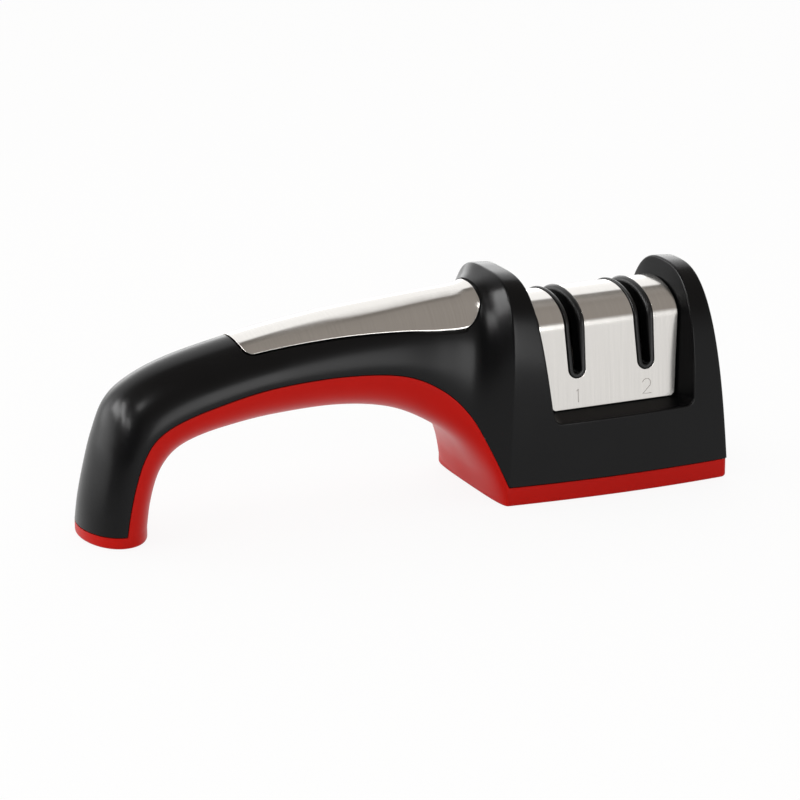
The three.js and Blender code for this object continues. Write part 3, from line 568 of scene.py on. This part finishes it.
def rounded_frame(left, right, low, high, corner):
    """Corner middles to corner middles: four lists of (across, along) for left, back, right and front."""
    def corner_arc(cx, cy, start, end):
        a = np.linspace(start, end, 13)
        return np.stack([cx + corner * np.cos(a), cy + corner * np.sin(a)], axis=1)
    q = np.pi / 4
    fl, bl = (left + corner, low + corner), (left + corner, high - corner)
    br, fr = (right - corner, high - corner), (right - corner, low + corner)
    paths = [
        np.concatenate([corner_arc(*fl, 5 * q, 4 * q), corner_arc(*bl, 4 * q, 3 * q)]),
        np.concatenate([corner_arc(*bl, 3 * q, 2 * q), corner_arc(*br, 2 * q, q)]),
        np.concatenate([corner_arc(*br, q, 0), corner_arc(*fr, 0, -q)]),
        np.concatenate([corner_arc(*fr, -q, -2 * q), corner_arc(*fl, -2 * q, -3 * q)]),
    ]
    sides = []
    for path, count in zip(paths, (SIDE, FRONT, SIDE, FRONT)):
        length = np.concatenate([[0], np.cumsum(np.linalg.norm(np.diff(path, axis=0), axis=1))])
        at = np.linspace(0, length[-1], count + 1)[:-1]
        sides.append(np.stack([np.interp(at, length, path[:, i]) for i in range(2)], axis=1))
    return np.concatenate(sides)


RIM_LOW = 18.0 / ARCH
rim = rounded_frame(0, 48, 0, ARCH - 36, 2.6)
tilt = 1.45 * rim[:, 0] / 48 * (1 - 2 * rim[:, 1] / (ARCH - 36))
rim_share = RIM_LOW + (rim[:, 1] + tilt) / ARCH
climb = np.clip((head_point(np.full(len(rim), 0.5), rim_share)[:, 2] - 24.4) / 41.6, 0, 1)
rim_left, rim_right = 42.0 - 5.6 * climb, 90.0 + 1.6 * climb
rim_x = rim_left + (rim_right - rim_left) * rim[:, 0] / 48
rim_h = head_share(rim_x, rim_share)
rim_line = head_point(rim_h, rim_share)

FLOOR = -1.0
floor_frame = rounded_frame(0, 46, -0.3, SADDLE + 0.3, 0.8)
high = np.clip(np.minimum(floor_frame[:, 1], SADDLE - floor_frame[:, 1]) / FACE, 0, 1)
floor_left, floor_right = 44.7 - 3.3 * high, 87.9 + 1.9 * high
floor_x = floor_left + (floor_right - floor_left) * floor_frame[:, 0] / 46
floor_line = saddle_point(floor_x, floor_frame[:, 1], FLOOR)
print("rim and floor lines", rim_line.shape, floor_line.shape)

# %% Arched outside, rim and walls
EDGE, RIM_EDGE = 0.7, 0.6
share = np.linspace(0, 1, SIDE + 1)
h0, h1 = EDGE / 75, 1 - EDGE / 75
outer_h = np.concatenate([np.full(SIDE, h0), np.linspace(h0, h1, FRONT + 1)[:-1], np.full(SIDE, h1),
                          np.linspace(h1, h0, FRONT + 1)[:-1]])
outer_share = np.concatenate([share[:-1], np.ones(FRONT), share[::-1][:-1], np.zeros(FRONT)])
reach = np.linalg.norm(head_point(outer_h, outer_share) - rim_line, axis=1)
near = RIM_EDGE / reach
grow = (near + (1 - near) * np.linspace(0, 1, 15)[:, None] ** 1.3)
outside = head_point(rim_h + (outer_h - rim_h) * grow, rim_share + (outer_share - rim_share) * grow)
inward = floor_line - rim_line
inward /= np.linalg.norm(inward, axis=1)[:, None]
rim_round = rounded(outside[0], rim_line, rim_line + RIM_EDGE * inward, 6)
sink = np.linspace(0, 1, 7)[:, None, None]
wall = rim_round[-1] + (floor_line - rim_round[-1]) * sink

# %% Saddle floor, fin edges and the right end
left_line = np.concatenate([floor_line[:SIDE], floor_line[SIDE:SIDE + 1]])
right_line = np.concatenate([floor_line[SIDE + FRONT:2 * SIDE + FRONT], floor_line[2 * SIDE + FRONT:2 * SIDE + FRONT + 1]])[::-1]
back_line = floor_line[SIDE:SIDE + FRONT + 1]
front_line = np.concatenate([floor_line[2 * SIDE + FRONT:], floor_line[:1]])[::-1]
u = np.linspace(0, 1, FRONT + 1)[None, :, None]
v = np.linspace(0, 1, SIDE + 1)[:, None, None]
corner_mix = ((1 - u) * (1 - v) * front_line[0] + u * (1 - v) * front_line[-1]
              + (1 - u) * v * back_line[0] + u * v * back_line[-1])
saddle_floor = ((1 - u) * left_line[:, None] + u * right_line[:, None]
                + (1 - v) * front_line[None] + v * back_line[None] - corner_mix)
lead = upper_rings[:-1]
flare_end = np.array(upper_ring(sections(LAST - 0.1)))
lead = np.concatenate([lead[per_station[:-1] < LAST - 0.12], flare_end[None]])
left_edge = rounded(flare_end, head_point(np.zeros(SIDE + 1), share), head_point(np.full(SIDE + 1, h0), share), 5)
end_line = head_point(np.ones(SIDE + 1), share)
middle = np.array([RIGHT_X + RIGHT_LEAN * 0.3, 0, BAND])
toward = middle - end_line
toward[:, 2] *= 0.6
inset_line = end_line + EDGE * toward / np.linalg.norm(toward, axis=1)[:, None]
inset_line[:, 0] = RIGHT_X + RIGHT_LEAN * (inset_line[:, 2] - BAND) / (RIGHT_TOP - BAND)
inset_line[[0, -1], 2] = BAND
right_edge = rounded(head_point(np.full(SIDE + 1, h1), share), end_line, inset_line, 5)
half = SIDE // 2
rung = np.linspace(0, 1, 25)[None, :, None]
end_face = inset_line[:half + 1, None] * (1 - rung) + inset_line[::-1][:half + 1, None] * rung
# The recess wall takes the second finish, the painted shade.
blocks = [(lead, False), (left_edge, False), (outside, True), (rim_round, True), (wall, True, 1),
          (right_edge, False), (end_face, False), (saddle_floor, False)]
body = sew("body_shell_moulded", blocks)
top_face = max(body.data.polygons, key=lambda f: f.center.z)
if top_face.normal.z < 0:
    body.data.flip_normals()
print("open shell", len(body.data.polygons), "faces")

# %% [markdown]
# The slots pass through the saddle, so its floor is opened there. The steel and the slot lips hide the edges
# of these openings. Then the wall gets its thickness.

# %% Slot openings and wall
SLOTS = {"coarse": 53.8, "fine": 77.5}
SLOT_LOW = at_height(37.1)
work = bmesh.new()
work.from_mesh(body.data)
doomed = []
for face in work.faces:
    c = face.calc_center_median() / MM
    inside = abs(c.y) < 18.5 and c.z > 37.0 and any(abs(c.x - x) < 2.2 for x in SLOTS.values())
    if inside and 42 < c.x < 89 and c.z < SADDLE_TOP:
        doomed.append(face)
bmesh.ops.delete(work, geom=doomed, context="FACES")
work.to_mesh(body.data)
work.free()
wall_maker = body.modifiers.new("wall", "SOLIDIFY")
wall_maker.thickness = 2.4 * MM
wall_maker.offset = -1
apply_modifiers(body)
print("slots opened", len(doomed), "faces")
hand_over(body, "housing", "black_abs", [black_abs, painted_shade_black], "body_shell")

# %% [markdown]
# ## Red base
# The lower moulding is the underside of the handle, the sole of the foot and the base of the head in one
# piece. Its rings use the same stations from the parting line down. The foot and the head end in low walls
# with a rounded lower edge. Nothing opens it, so it is made as a closed form with a flat lid under the shell.

# %% Red base
FLAT, ROUND = 0.05, 1.0
SOLE_TOP, SOLE_ROUND = 3.5, 1.0


def foot_rows(line, top, low, radius):
    """Rows from a line down a wall to a rounded lower edge, drawn in towards the line's middle."""
    middle = line.mean(axis=0)
    away = (middle - line) * [1, 1, 0]
    away /= np.linalg.norm(away, axis=1)[:, None]
    at = lambda z: np.concatenate([line[:, :2], np.full((len(line), 1), z)], axis=1)
    under = at(low) + away * radius
    first = line if top is None else at(top)
    mid = np.minimum(first[:, 2:], low + radius)
    start = np.concatenate([line[:, :2], mid], axis=1)
    return np.concatenate([first[None], rounded(start, at(low), under, 6)])


sole_front = np.concatenate([upper_rings[0][::-1][:-1], [lower_rings[0][0]]])
sole_line = np.concatenate([lower_rings[0], upper_rings[0][::-1][1:-1]])
sole_line[:, 2] = SOLE_TOP
sole = foot_rows(sole_line, None, 0.0, SOLE_ROUND)
left_half = np.concatenate([[sole_line[AROUND]], sole_line[AROUND + 1:], [sole_line[0]]])
mid_count = len(left_half) // 2
rung = np.linspace(0, 1, 2)[None, :, None]
ledge = left_half[:mid_count + 1, None] * (1 - rung) + left_half[::-1][:mid_count + 1, None] * rung
underside = np.concatenate([sole_line[None, :AROUND + 1], lower_rings])
lid = np.stack([underside[:, 0], underside[:, -1]], axis=1)
bow = underside[-1]
top = BAND - PARTING_GAP
corner = 1.6
arc = np.linspace(-np.pi / 2, np.pi / 2, 19)
turn = lambda a, sign: [RIGHT_X - corner + corner * math.cos(a), sign * (HALF - corner) + corner * math.sin(a), top]
run = np.linspace(0, 1, 60)
swollen = np.stack([LEFT_X + run * (RIGHT_X - corner - LEFT_X), HALF + 4 * BOW * run * (1 - run), np.full(60, top)], axis=1)
front_wall = (swollen * [1, -1, 1])[1:].tolist()
right_wall = [turn(a, -1) for a in arc[:10]] + [turn(a, 1) for a in arc[9:]]
back_wall = swollen[::-1][:-1].tolist()
rest = np.array(front_wall[:-1] + right_wall + back_wall[1:])
base_line = np.concatenate([bow[::-1], rest])
base_rows = foot_rows(base_line, None, FLAT, ROUND)
cover_lid = np.concatenate([[bow[0]], rest, [bow[-1]]])
base = sew("base_cover_moulded", [(underside, False), (lid, False), (sole, True), (ledge, False), (base_rows, True)],
           loops=[sole[-1], base_rows[-1], cover_lid])
print("open edges", sum(1 for e in base.data.edges if e.is_loose))

# %% [markdown]
# ## Steel cover
# A strip of stainless sheet is bent over the saddle. It is laid out flat, with x across and the distance along
# the saddle's section as the other axis, and bent by the saddle formula. Its edges draw in below the shoulder
# and its lower corners are rounded. The sheet is made of three bands beside the slots. Below a slot two bands
# meet on the slot's middle line, and beside it their edges follow the outline of the lips.

# %% Outline of a slot
SLOT_HALF, LIP, FLARE = 1.4, 1.28, 0.5
SLOT_LEAN, UPRIGHT_AT = 0.035, 20.5


def flare_at(along):
    fold = np.minimum(along, SADDLE - along)
    return FLARE * np.clip((fold - SLOT_LOW) / (FACE - SLOT_LOW), 0, 1)


def slot_middle(x, along):
    """The slots lean: their lower ends lie a little further right than their tops."""
    fold = np.minimum(along, SADDLE - along)
    return x + SLOT_LEAN * (UPRIGHT_AT - np.minimum(fold, FACE))


def half_opening(along, grow):
    """Half the width of the cut-out for the lips, with a round lower end."""
    fold = np.minimum(along, SADDLE - along)
    reach = SLOT_HALF + LIP + grow
    below = np.clip(SLOT_LOW + SLOT_HALF - fold, 0, reach)
    return np.sqrt(reach ** 2 - below ** 2) + flare_at(along)


# %% Steel cover
SHEET, SHEET_ROUND, CUT_ROUND, AIR = 0.8, 0.25, 0.06, 0.28
end = SLOT_LOW - LIP - AIR
turn = end + (SLOT_HALF + LIP + AIR) * (1 - np.cos(np.linspace(0, np.pi / 2, 25)))
along_face = np.concatenate([[0, 0.015, 0.04, 0.09, 0.16, 0.24, 0.33, 0.5, 0.8, 1.1, 1.5, 2.0],
                             np.linspace(2.6, end - 0.3, 13), end - np.array([0.16, 0.09, 0.04, 0.015]),
                             turn, np.linspace(turn[-1], FACE, 16)[1:-1]])
along = np.concatenate([along_face, np.linspace(FACE, SADDLE - FACE, 91), SADDLE - along_face[::-1]])
fold = np.minimum(along, SADDLE - along)
draw = 1 - np.clip(fold / FACE, 0, 1)
tuck = 2.0 - np.sqrt(4.0 - np.clip(2.0 - fold, 0, 2.0) ** 2)
half = half_opening(along, AIR)
stops = [41.7 + 3.3 * draw + tuck]
for x in SLOTS.values():
    stops += [slot_middle(x, along) - half, slot_middle(x, along) + half]
stops.append(89.4 - 1.9 * draw - tuck)
bands = []
for left, right in zip(stops[::2], stops[1::2]):
    band_x = left[:, None] + (right - left)[:, None] * edge_steps(14.0, 8)
    to_rim = np.minimum(np.minimum(band_x - stops[0][:, None], stops[-1][:, None] - band_x), fold[:, None])
    past_end = np.clip(SLOT_LOW + SLOT_HALF - fold, 0, None)[:, None]
    to_cut = np.minimum(*[np.hypot(np.clip(np.abs(band_x - slot_middle(x, along)[:, None]) - flare_at(along)[:, None],
                                           0, None), past_end) for x in SLOTS.values()])
    sunk = edge_drop(to_rim, SHEET_ROUND) + edge_drop(to_cut - SLOT_HALF - LIP - AIR, CUT_ROUND)
    bands.append((saddle_point(band_x, along[:, None], -sunk), False))
cover = sew("head_cover_sheet", bands)
if max(cover.data.polygons, key=lambda f: f.center.z).normal.z < 0:
    cover.data.flip_normals()
thick = cover.modifiers.new("sheet", "SOLIDIFY")
thick.thickness = SHEET * MM
thick.offset = -1
apply_modifiers(cover)
hand_over(cover, "housing", "stainless", [stainless], "head_cover", angle=40)


# %% [markdown]
# ## Pockets under the base
# The base is cut from below for the rubber pad and for the screw heads, which sit deep in round holes.

# %% Cutting tools
def slab(name, over, under):
    """A closed tool between two grids of equal size."""
    ring = lambda g: np.concatenate([g[0], g[1:, -1], g[-1][::-1][1:], g[::-1, 0][1:-1]])
    return sew(name, [(over, False), (under, False), (np.stack([ring(over), ring(under)]), True)])


def carve(piece, tools):
    for tool in tools:
        cut = piece.modifiers.new("cut", "BOOLEAN")
        cut.operation = "DIFFERENCE"
        cut.solver = "MANIFOLD"
        cut.object = tool
    apply_modifiers(piece)
    for tool in tools:
        bpy.data.objects.remove(tool)


# %% Pad seat and screw holes in the base
cutters = []
for name in [n for n in nodes if n.startswith(("base_screw", "handle_screw"))]:
    low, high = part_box(name)
    bpy.ops.mesh.primitive_cylinder_add(vertices=48, radius=2.9 * MM, depth=0.02,
                                        location=((low.x + high.x) / 2, (low.y + high.y) / 2, low.z + 1.7 * MM - 0.01))
    cutters.append(bpy.context.object)
low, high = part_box("grip_pad")
pad_points = []
for sx, sy, start in ((1, 1, 0), (-1, 1, 90), (-1, -1, 180), (1, -1, 270)):
    for a in np.radians(np.linspace(start, start + 90, 9)):
        pad_points.append([(low.x + high.x) / 2 / MM + sx * 20 + 5.2 * math.cos(a), sy * 12.5 + 5.2 * math.sin(a)])
pad_points = np.array(pad_points)
pad_stack = np.stack([np.column_stack([pad_points, np.full(len(pad_points), z)]) for z in (-5.0, 1.5)])
cutters.append(sew("pad_seat", [(pad_stack, True)], loops=[pad_stack[0], pad_stack[1]]))
carve(base, cutters)
# The cut leaves an empty finish slot, which would hide the red.
base.data.materials.clear()
hand_over(base, "housing", "soft_red", [red_soft], "base_cover")

# %% [markdown]
# ## Slot lips
# Each slot has a black frame whose lips stand proud of the steel. The frame runs up the front, over the top
# and down the back as one closed line round the slot. Its section, from the outside of the lip over the top
# and down the slot's wall, is carried along that line on the unrolled saddle.


# %% Slot lips
# Reach from the slot's edge, then the height over the steel on the flat face and over the bend
LIP_SECTION = [(LIP - 0.1, -0.8, -0.8), (LIP, 0.0, 0.0), (LIP - 0.02, 0.2, 0.2), (LIP - 0.1, 0.37, 0.37),
               (LIP - 0.26, 0.46, 0.46), (LIP - 0.46, 0.48, 0.44), (0.55, 0.48, 0.28), (0.3, 0.48, 0.02),
               (0.1, 0.42, -0.4), (0.0, 0.2, -1.0)]
WALL_SECTION = [(0.0, -5.0), (0.8, -5.0), (0.8, -1.2)]


def slot_frame(x):
    low, high = SLOT_LOW + SLOT_HALF, SADDLE - SLOT_LOW - SLOT_HALF
    sides = np.linspace(low, high, 140)
    arc = np.linspace(0, np.pi, 25)[1:-1]
    centre = np.concatenate([sides, np.full(len(arc), high), sides[::-1], np.full(len(arc), low)])
    away = np.concatenate([np.tile([-1.0, 0.0], (len(sides), 1)), np.stack([-np.cos(arc), np.sin(arc)], axis=1),
                           np.tile([1.0, 0.0], (len(sides), 1)), np.stack([np.cos(arc), -np.sin(arc)], axis=1)])
    bent = flare_at(centre) / FLARE

    def row(reach, out):
        r = SLOT_HALF + reach + flare_at(centre) * reach / LIP
        return saddle_point(slot_middle(x, centre) + away[:, 0] * r, centre + away[:, 1] * r, out + 0 * r)
    lip = [row(reach, flat + (over - flat) * bent) for reach, flat, over in LIP_SECTION]
    wall = [lip[-1]] + [row(reach, out) for reach, out in WALL_SECTION] + [lip[0]]
    return np.array(lip), np.array(wall)


for stage, x in SLOTS.items():
    lip, wall = slot_frame(x)
    # The slot walls take the second finish, the painted shade.
    lips = sew(f"{stage}_slot_lips", [(lip, True), (wall, True, 1)])
    hand_over(lips, "housing", "black_abs", [lip_abs, painted_shade_black], f"{stage}_slot_liner", angle=50)

# %% [markdown]
# ## Handle inlay
# A second strip of brushed sheet is let into the top of the handle. Its outline is drawn from above and laid
# on the handle by finding, for each point, the station whose section passes through it. The rim of the strip
# is turned down a little, which gives the bright line along its lower edge.


# %% Handle inlay
def on_handle(x, y):
    """The handle's top surface over a point of the plan."""
    low, high = np.full(x.shape, 4.0), np.full(x.shape, float(LAST))
    for _ in range(40):
        mid = (low + high) / 2
        s = sections(mid)
        rise = np.clip(1 - np.abs(y / s[..., 6]) ** s[..., 7], 0, 1) ** (1 / s[..., 7])
        px = s[..., 2] + (s[..., 0] - s[..., 2]) * rise
        low, high = np.where(px < x, mid, low), np.where(px < x, high, mid)
    return np.stack([x, y, s[..., 3] + (s[..., 1] - s[..., 3]) * rise], axis=-1)


def inlay_plan(grow, lengthwise, crosswise):
    right, left = 24.0 + 1.7 * grow, -53.6 - grow
    corner, corner_length, left_corner = 3.4 + grow, 6.0 + grow, 2.4 + grow
    b = np.abs(crosswise)[None, :]
    half_of = lambda x: 10.55 + grow + 2.55 * np.clip((x + 50.6) / 68.3, 0, 1)
    under = np.clip(1 - (1 - b) * half_of(left) / left_corner, 0, 1)
    begin = left + 1.4 * b ** 2 + left_corner * (1 - np.sqrt(1 - under ** 2))
    over = np.clip(1 - (1 - b) * half_of(right) / corner, 0, 1)
    end = right - corner_length * (1 - np.sqrt(1 - over ** 2))
    x = begin + (end - begin) * lengthwise[:, None]
    return x, crosswise[None, :] * half_of(x)


lengthwise = edge_steps(76.0, 90)
crosswise = 2 * edge_steps(24.0, 40) - 1
plan_x, plan_y = inlay_plan(0, lengthwise, crosswise)
surface = on_handle(plan_x, plan_y)


def outward(grid):
    n = np.cross(np.gradient(grid, axis=0), np.gradient(grid, axis=1))
    n /= np.linalg.norm(n, axis=-1)[..., None]
    return n * np.sign(n[len(n) // 2, n.shape[1] // 2, 2])


to_side = 1.35 * np.minimum(plan_y - plan_y[:, :1], plan_y[:, -1:] - plan_y)
to_end = np.minimum(plan_x - plan_x[:1], plan_x[-1:] - plan_x)
drop = edge_drop(np.minimum(to_side, to_end), 0.13)
lifted = surface + outward(on_handle(*inlay_plan(0, lengthwise, crosswise * 0.999))) * (0.2 - drop)[..., None]
inlay = sew("handle_inlay_strip", [(lifted, False)])
if inlay.data.polygons[len(inlay.data.polygons) // 2].normal.z < 0:
    inlay.data.flip_normals()
thick = inlay.modifiers.new("sheet", "SOLIDIFY")
thick.thickness = 0.5 * MM
thick.offset = -1
apply_modifiers(inlay)
hand_over(inlay, "housing", "stainless", [stainless], "handle_inlay", angle=60)

# %% [markdown]
# The strip lies in a shallow seat in the body. The seat is cut a little wider than the strip, and the narrow
# groove that is left is the dark line round the strip.

# %% Inlay seat
seat = on_handle(*inlay_plan(0.55, np.linspace(0, 1, 90), np.linspace(-1, 1, 40)))
carve(body, [slab("inlay_seat", seat + outward(seat) * 3, seat - outward(seat) * 0.9)])
body.data.shade_smooth()
body.data.set_sharp_from_angle(angle=math.radians(32))
print("body with seat", len(body.data.polygons), "faces")

# %% [markdown]
# ## Numbers on the steel
# The stages are numbered with thin engraved strokes. Each number is a bent line drawn flat, turned into a
# narrow ribbon and laid on the front face of the cover.

# %% Engraved numbers
arc = np.radians(np.linspace(165, -38, 17))
STROKES = {
    "one": [(53.7, 31.6), (54.25, 32.2), (54.25, 28.1)],
    "two": [(77.85 + 1.4 * math.cos(a), 31.2 + 1.4 * math.sin(a)) for a in arc] + [(76.4, 27.95), (79.4, 27.95)],
}
for name, stroke in STROKES.items():
    line = np.array(stroke)
    heading = np.gradient(line, axis=0)
    heading /= np.linalg.norm(heading, axis=1)[:, None]
    beside = np.stack([-heading[:, 1], heading[:, 0]], axis=1) * 0.13
    edge_a, edge_b = line + beside, line - beside
    rows = [saddle_point(e[:, 0], at_height(e[:, 1]), out) for e, out in
            ((edge_a, -0.05), (edge_a, 0.02), (edge_b, 0.02), (edge_b, -0.05), (edge_a, -0.05))]
    rows = np.array(rows)
    number = sew(f"number_{name}", [(rows, False)], loops=[rows[:-1, 0], rows[:-1, -1]])
    hand_over(number, "housing", "stainless", [etched], angle=60)

# %% [markdown]
# ## Turned pieces
# Wheels and screws are profiles turned about an axis. In Geometry Nodes that is a grid whose rows take the
# corners of the profile and whose columns go once round. One function adds those nodes to a tree and gives back
# the grid with each point's radius, level and direction. The sizes are inputs of the tree.

# %% Turning a profile in Geometry Nodes
def new_tree(name, sizes, others):
    """A geometry tree with named inputs: sizes in millimetres, and others by socket type."""
    tree = bpy.data.node_groups.new(name, "GeometryNodeTree")
    tree.interface.new_socket("Geometry", in_out="OUTPUT", socket_type="NodeSocketGeometry")
    ids = {}
    for label, kind in others.items():
        ids[label] = tree.interface.new_socket(label, in_out="INPUT", socket_type=kind).identifier
    for label, value in sizes.items():
        socket = tree.interface.new_socket(label, in_out="INPUT", socket_type="NodeSocketFloat")
        socket.default_value = value * MM
        ids[label] = socket.identifier
    return tree, ids, add(tree, "NodeGroupInput").outputs


def calc(tree, operation, *values):
    return add(tree, "ShaderNodeMath", dict(enumerate(values)), operation=operation).outputs[0]


def turn_profile(tree, profile, steps):
    rows = len(profile)
    grid = add(tree, "GeometryNodeMeshGrid", {"Size X": 1.0, "Size Y": 1.0, "Vertices X": rows, "Vertices Y": steps + 1})
    number = add(tree, "GeometryNodeInputIndex").outputs[0]
    row = calc(tree, "FLOOR", calc(tree, "DIVIDE", number, float(steps + 1)))
    angle = calc(tree, "MULTIPLY", calc(tree, "MODULO", number, float(steps + 1)), 2 * math.pi / steps)
    radius, level = 0.0, 0.0
    for i, (corner_radius, corner_level) in enumerate(profile):
        here = calc(tree, "COMPARE", row, float(i), 0.5)
        radius = calc(tree, "MULTIPLY_ADD", here, corner_radius, radius)
        level = calc(tree, "MULTIPLY_ADD", here, corner_level, level)
    beside = calc(tree, "MULTIPLY", radius, calc(tree, "COSINE", angle))
    ahead = calc(tree, "MULTIPLY", radius, calc(tree, "SINE", angle))
    return grid.outputs["Mesh"], level, beside, ahead


def end_tree(tree, shape, material):
    whole = add(tree, "GeometryNodeRealizeInstances", {"Geometry": shape})
    coated = add(tree, "GeometryNodeSetMaterial", {"Geometry": whole.outputs[0], "Material": material})
    add(tree, "NodeGroupOutput", {"Geometry": coated.outputs[0]})
    print(tree.name, len(tree.nodes), "nodes")


def from_tree(name, tree, values, points=()):
    """A plain mesh from a tree, set on loose points."""
    mesh = bpy.data.meshes.new(name)
    mesh.from_pydata(points, [], [])
    holder = bpy.data.objects.new(name, mesh)
    bpy.context.scene.collection.objects.link(holder)
    maker = holder.modifiers.new("tree", "NODES")
    maker.node_group = tree
    for identifier, value in values.items():
        maker[identifier] = value
    apply_modifiers(holder)
    work = bmesh.new()
    work.from_mesh(holder.data)
    bmesh.ops.recalc_face_normals(work, faces=work.faces)
    work.to_mesh(holder.data)
    work.free()
    return holder


# %% [markdown]
# ## Wheels
# Each slot has two bevelled wheels whose bevels make a V under the slot. The coarse pair carries the grit.

# %% Wheel tree
WHEEL = {"Bore": 1.75, "Vee Radius": 3.6, "Radius": 9.0, "Thickness": 4.4, "Bevel": 1.965, "Inner": 0.125, "Land": 0.4}
tree, wheel_ids, given = new_tree("bevelled_wheel", WHEEL, {
    "Axle": "NodeSocketVector", "Side": "NodeSocketFloat", "Material": "NodeSocketMaterial"})
outer = calc(tree, "ADD", given["Inner"], given["Thickness"])
bevel_end = calc(tree, "ADD", given["Inner"], given["Bevel"])
profile = [(given["Bore"], given["Inner"]), (given["Vee Radius"], given["Inner"]), (given["Radius"], bevel_end),
           (given["Radius"], calc(tree, "SUBTRACT", outer, given["Land"])),
           (calc(tree, "SUBTRACT", given["Radius"], given["Land"]), outer), (given["Bore"], outer)]
mesh, level, beside, ahead = turn_profile(tree, profile + profile[:1], steps=96)
spot = add(tree, "ShaderNodeCombineXYZ", {"X": calc(tree, "MULTIPLY", level, given["Side"]), "Y": beside, "Z": ahead})
place = add(tree, "ShaderNodeVectorMath", {0: spot.outputs[0], 1: given["Axle"]}, operation="ADD")
turned = add(tree, "GeometryNodeSetPosition", {"Geometry": mesh, "Position": place.outputs[0]})
sewn = add(tree, "GeometryNodeMergeByDistance", {"Geometry": turned.outputs[0], "Distance": 1e-6})
end_tree(tree, sewn.outputs[0], given["Material"])
wheel_tree = tree

# %% Four wheels
AXLE_HEIGHT = 34.6
for stage, x in SLOTS.items():
    coat, slot_name = (diamond, "diamond_grit") if stage == "coarse" else (ceramic, "grey_ceramic")
    for hand, side in (("left", -1.0), ("right", 1.0)):
        made = from_tree(f"{stage}_wheel_{hand}_turned", wheel_tree, {
            wheel_ids["Axle"]: (x * MM, 0.0, AXLE_HEIGHT * MM), wheel_ids["Side"]: side, wheel_ids["Material"]: coat})
        hand_over(made, f"{stage}_{hand}", slot_name, [], f"{stage}_wheel_{hand}", angle=30)

# %% [markdown]
# ## Screws
# Ten pan-head screws point up into the bosses, and their heads show from below. One tree turns the screw, cuts
# a cross into its head and sets a copy on every point it is given. Screws of one length share a piece.

# %% Screw tree
SCREW = {"Length": 14.0, "Head Radius": 2.7, "Head Height": 1.7, "Shank Radius": 1.4, "Point": 2.0,
         "Cross Width": 3.2, "Cross Slot": 0.65, "Cross Depth": 0.9}
tree, screw_ids, given = new_tree("cross_head_screw", SCREW, {
    "Geometry": "NodeSocketGeometry", "Material": "NodeSocketMaterial"})
dome_radius = calc(tree, "MULTIPLY", given["Head Radius"], 0.6)
dome_level = calc(tree, "MULTIPLY", given["Head Height"], 0.6)
profile = [(0.0, 0.0), (dome_radius, 0.0), (calc(tree, "MULTIPLY", given["Head Radius"], 0.88), calc(tree, "MULTIPLY", given["Head Height"], 0.2)),
           (given["Head Radius"], dome_level), (given["Head Radius"], given["Head Height"]), (given["Shank Radius"], given["Head Height"]),
           (given["Shank Radius"], calc(tree, "SUBTRACT", given["Length"], given["Point"])), (0.0, given["Length"])]
mesh, level, beside, ahead = turn_profile(tree, profile, steps=32)
spot = add(tree, "ShaderNodeCombineXYZ", {"X": beside, "Y": ahead, "Z": level})
turned = add(tree, "GeometryNodeSetPosition", {"Geometry": mesh, "Position": spot.outputs[0]})
screw = add(tree, "GeometryNodeMergeByDistance", {"Geometry": turned.outputs[0], "Distance": 1e-6})
depth = calc(tree, "MULTIPLY", given["Cross Depth"], 2.0)
cross = add(tree, "GeometryNodeMeshBoolean", {0: screw.outputs[0]}, operation="DIFFERENCE", solver="MANIFOLD")
for wide, narrow in (("Cross Width", "Cross Slot"), ("Cross Slot", "Cross Width")):
    size = add(tree, "ShaderNodeCombineXYZ", {"X": given[wide], "Y": given[narrow], "Z": depth})
    bar = add(tree, "GeometryNodeMeshCube", {"Size": size.outputs[0]})
    tree.links.new(bar.outputs["Mesh"], cross.inputs[1])
copies = add(tree, "GeometryNodeInstanceOnPoints", {"Points": given["Geometry"], "Instance": cross.outputs[0]})
end_tree(tree, copies.outputs[0], given["Material"])
screw_tree = tree

# %% Ten screws
screw_sets = {}
for name in sorted(n for n in nodes if "_screw_" in n):
    low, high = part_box(name)
    kind = (name.split("_")[0], round((high.z - low.z) / MM, 2))
    screw_sets.setdefault(kind, {})[name] = ((low.x + high.x) / 2, (low.y + high.y) / 2, low.z)
for (kind, length), places in screw_sets.items():
    first = next(iter(places))
    made = from_tree(f"{first}_turned" if len(places) == 1 else f"{kind}_screws_turned", screw_tree,
                     {screw_ids["Length"]: length * MM, screw_ids["Material"]: zinc}, list(places.values()))
    hand_over(made, "housing", "zinc_screw", [], *places, angle=30)

# %% [markdown]
# ## Finishes on the inner pieces
# The cradles, pins, washers and the pad are right as solids, so they keep their shape and only get a finish.

# %% Inner pieces
for name, piece in nodes.items():
    if piece.hide_render:
        continue
    coat = nylon if "cradle" in name else rubber if name == "grip_pad" else pin_steel
    piece.data.materials.clear()
    piece.data.materials.append(coat)
print("solids kept", sum(not p.hide_render for p in nodes.values()))

# %% [markdown]
# ## Size
# The size of the finished object is printed, in millimetres.

# %% Sizes and finish
low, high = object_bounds()
print("box in mm", [round(1000 * v, 2) for v in high - low])
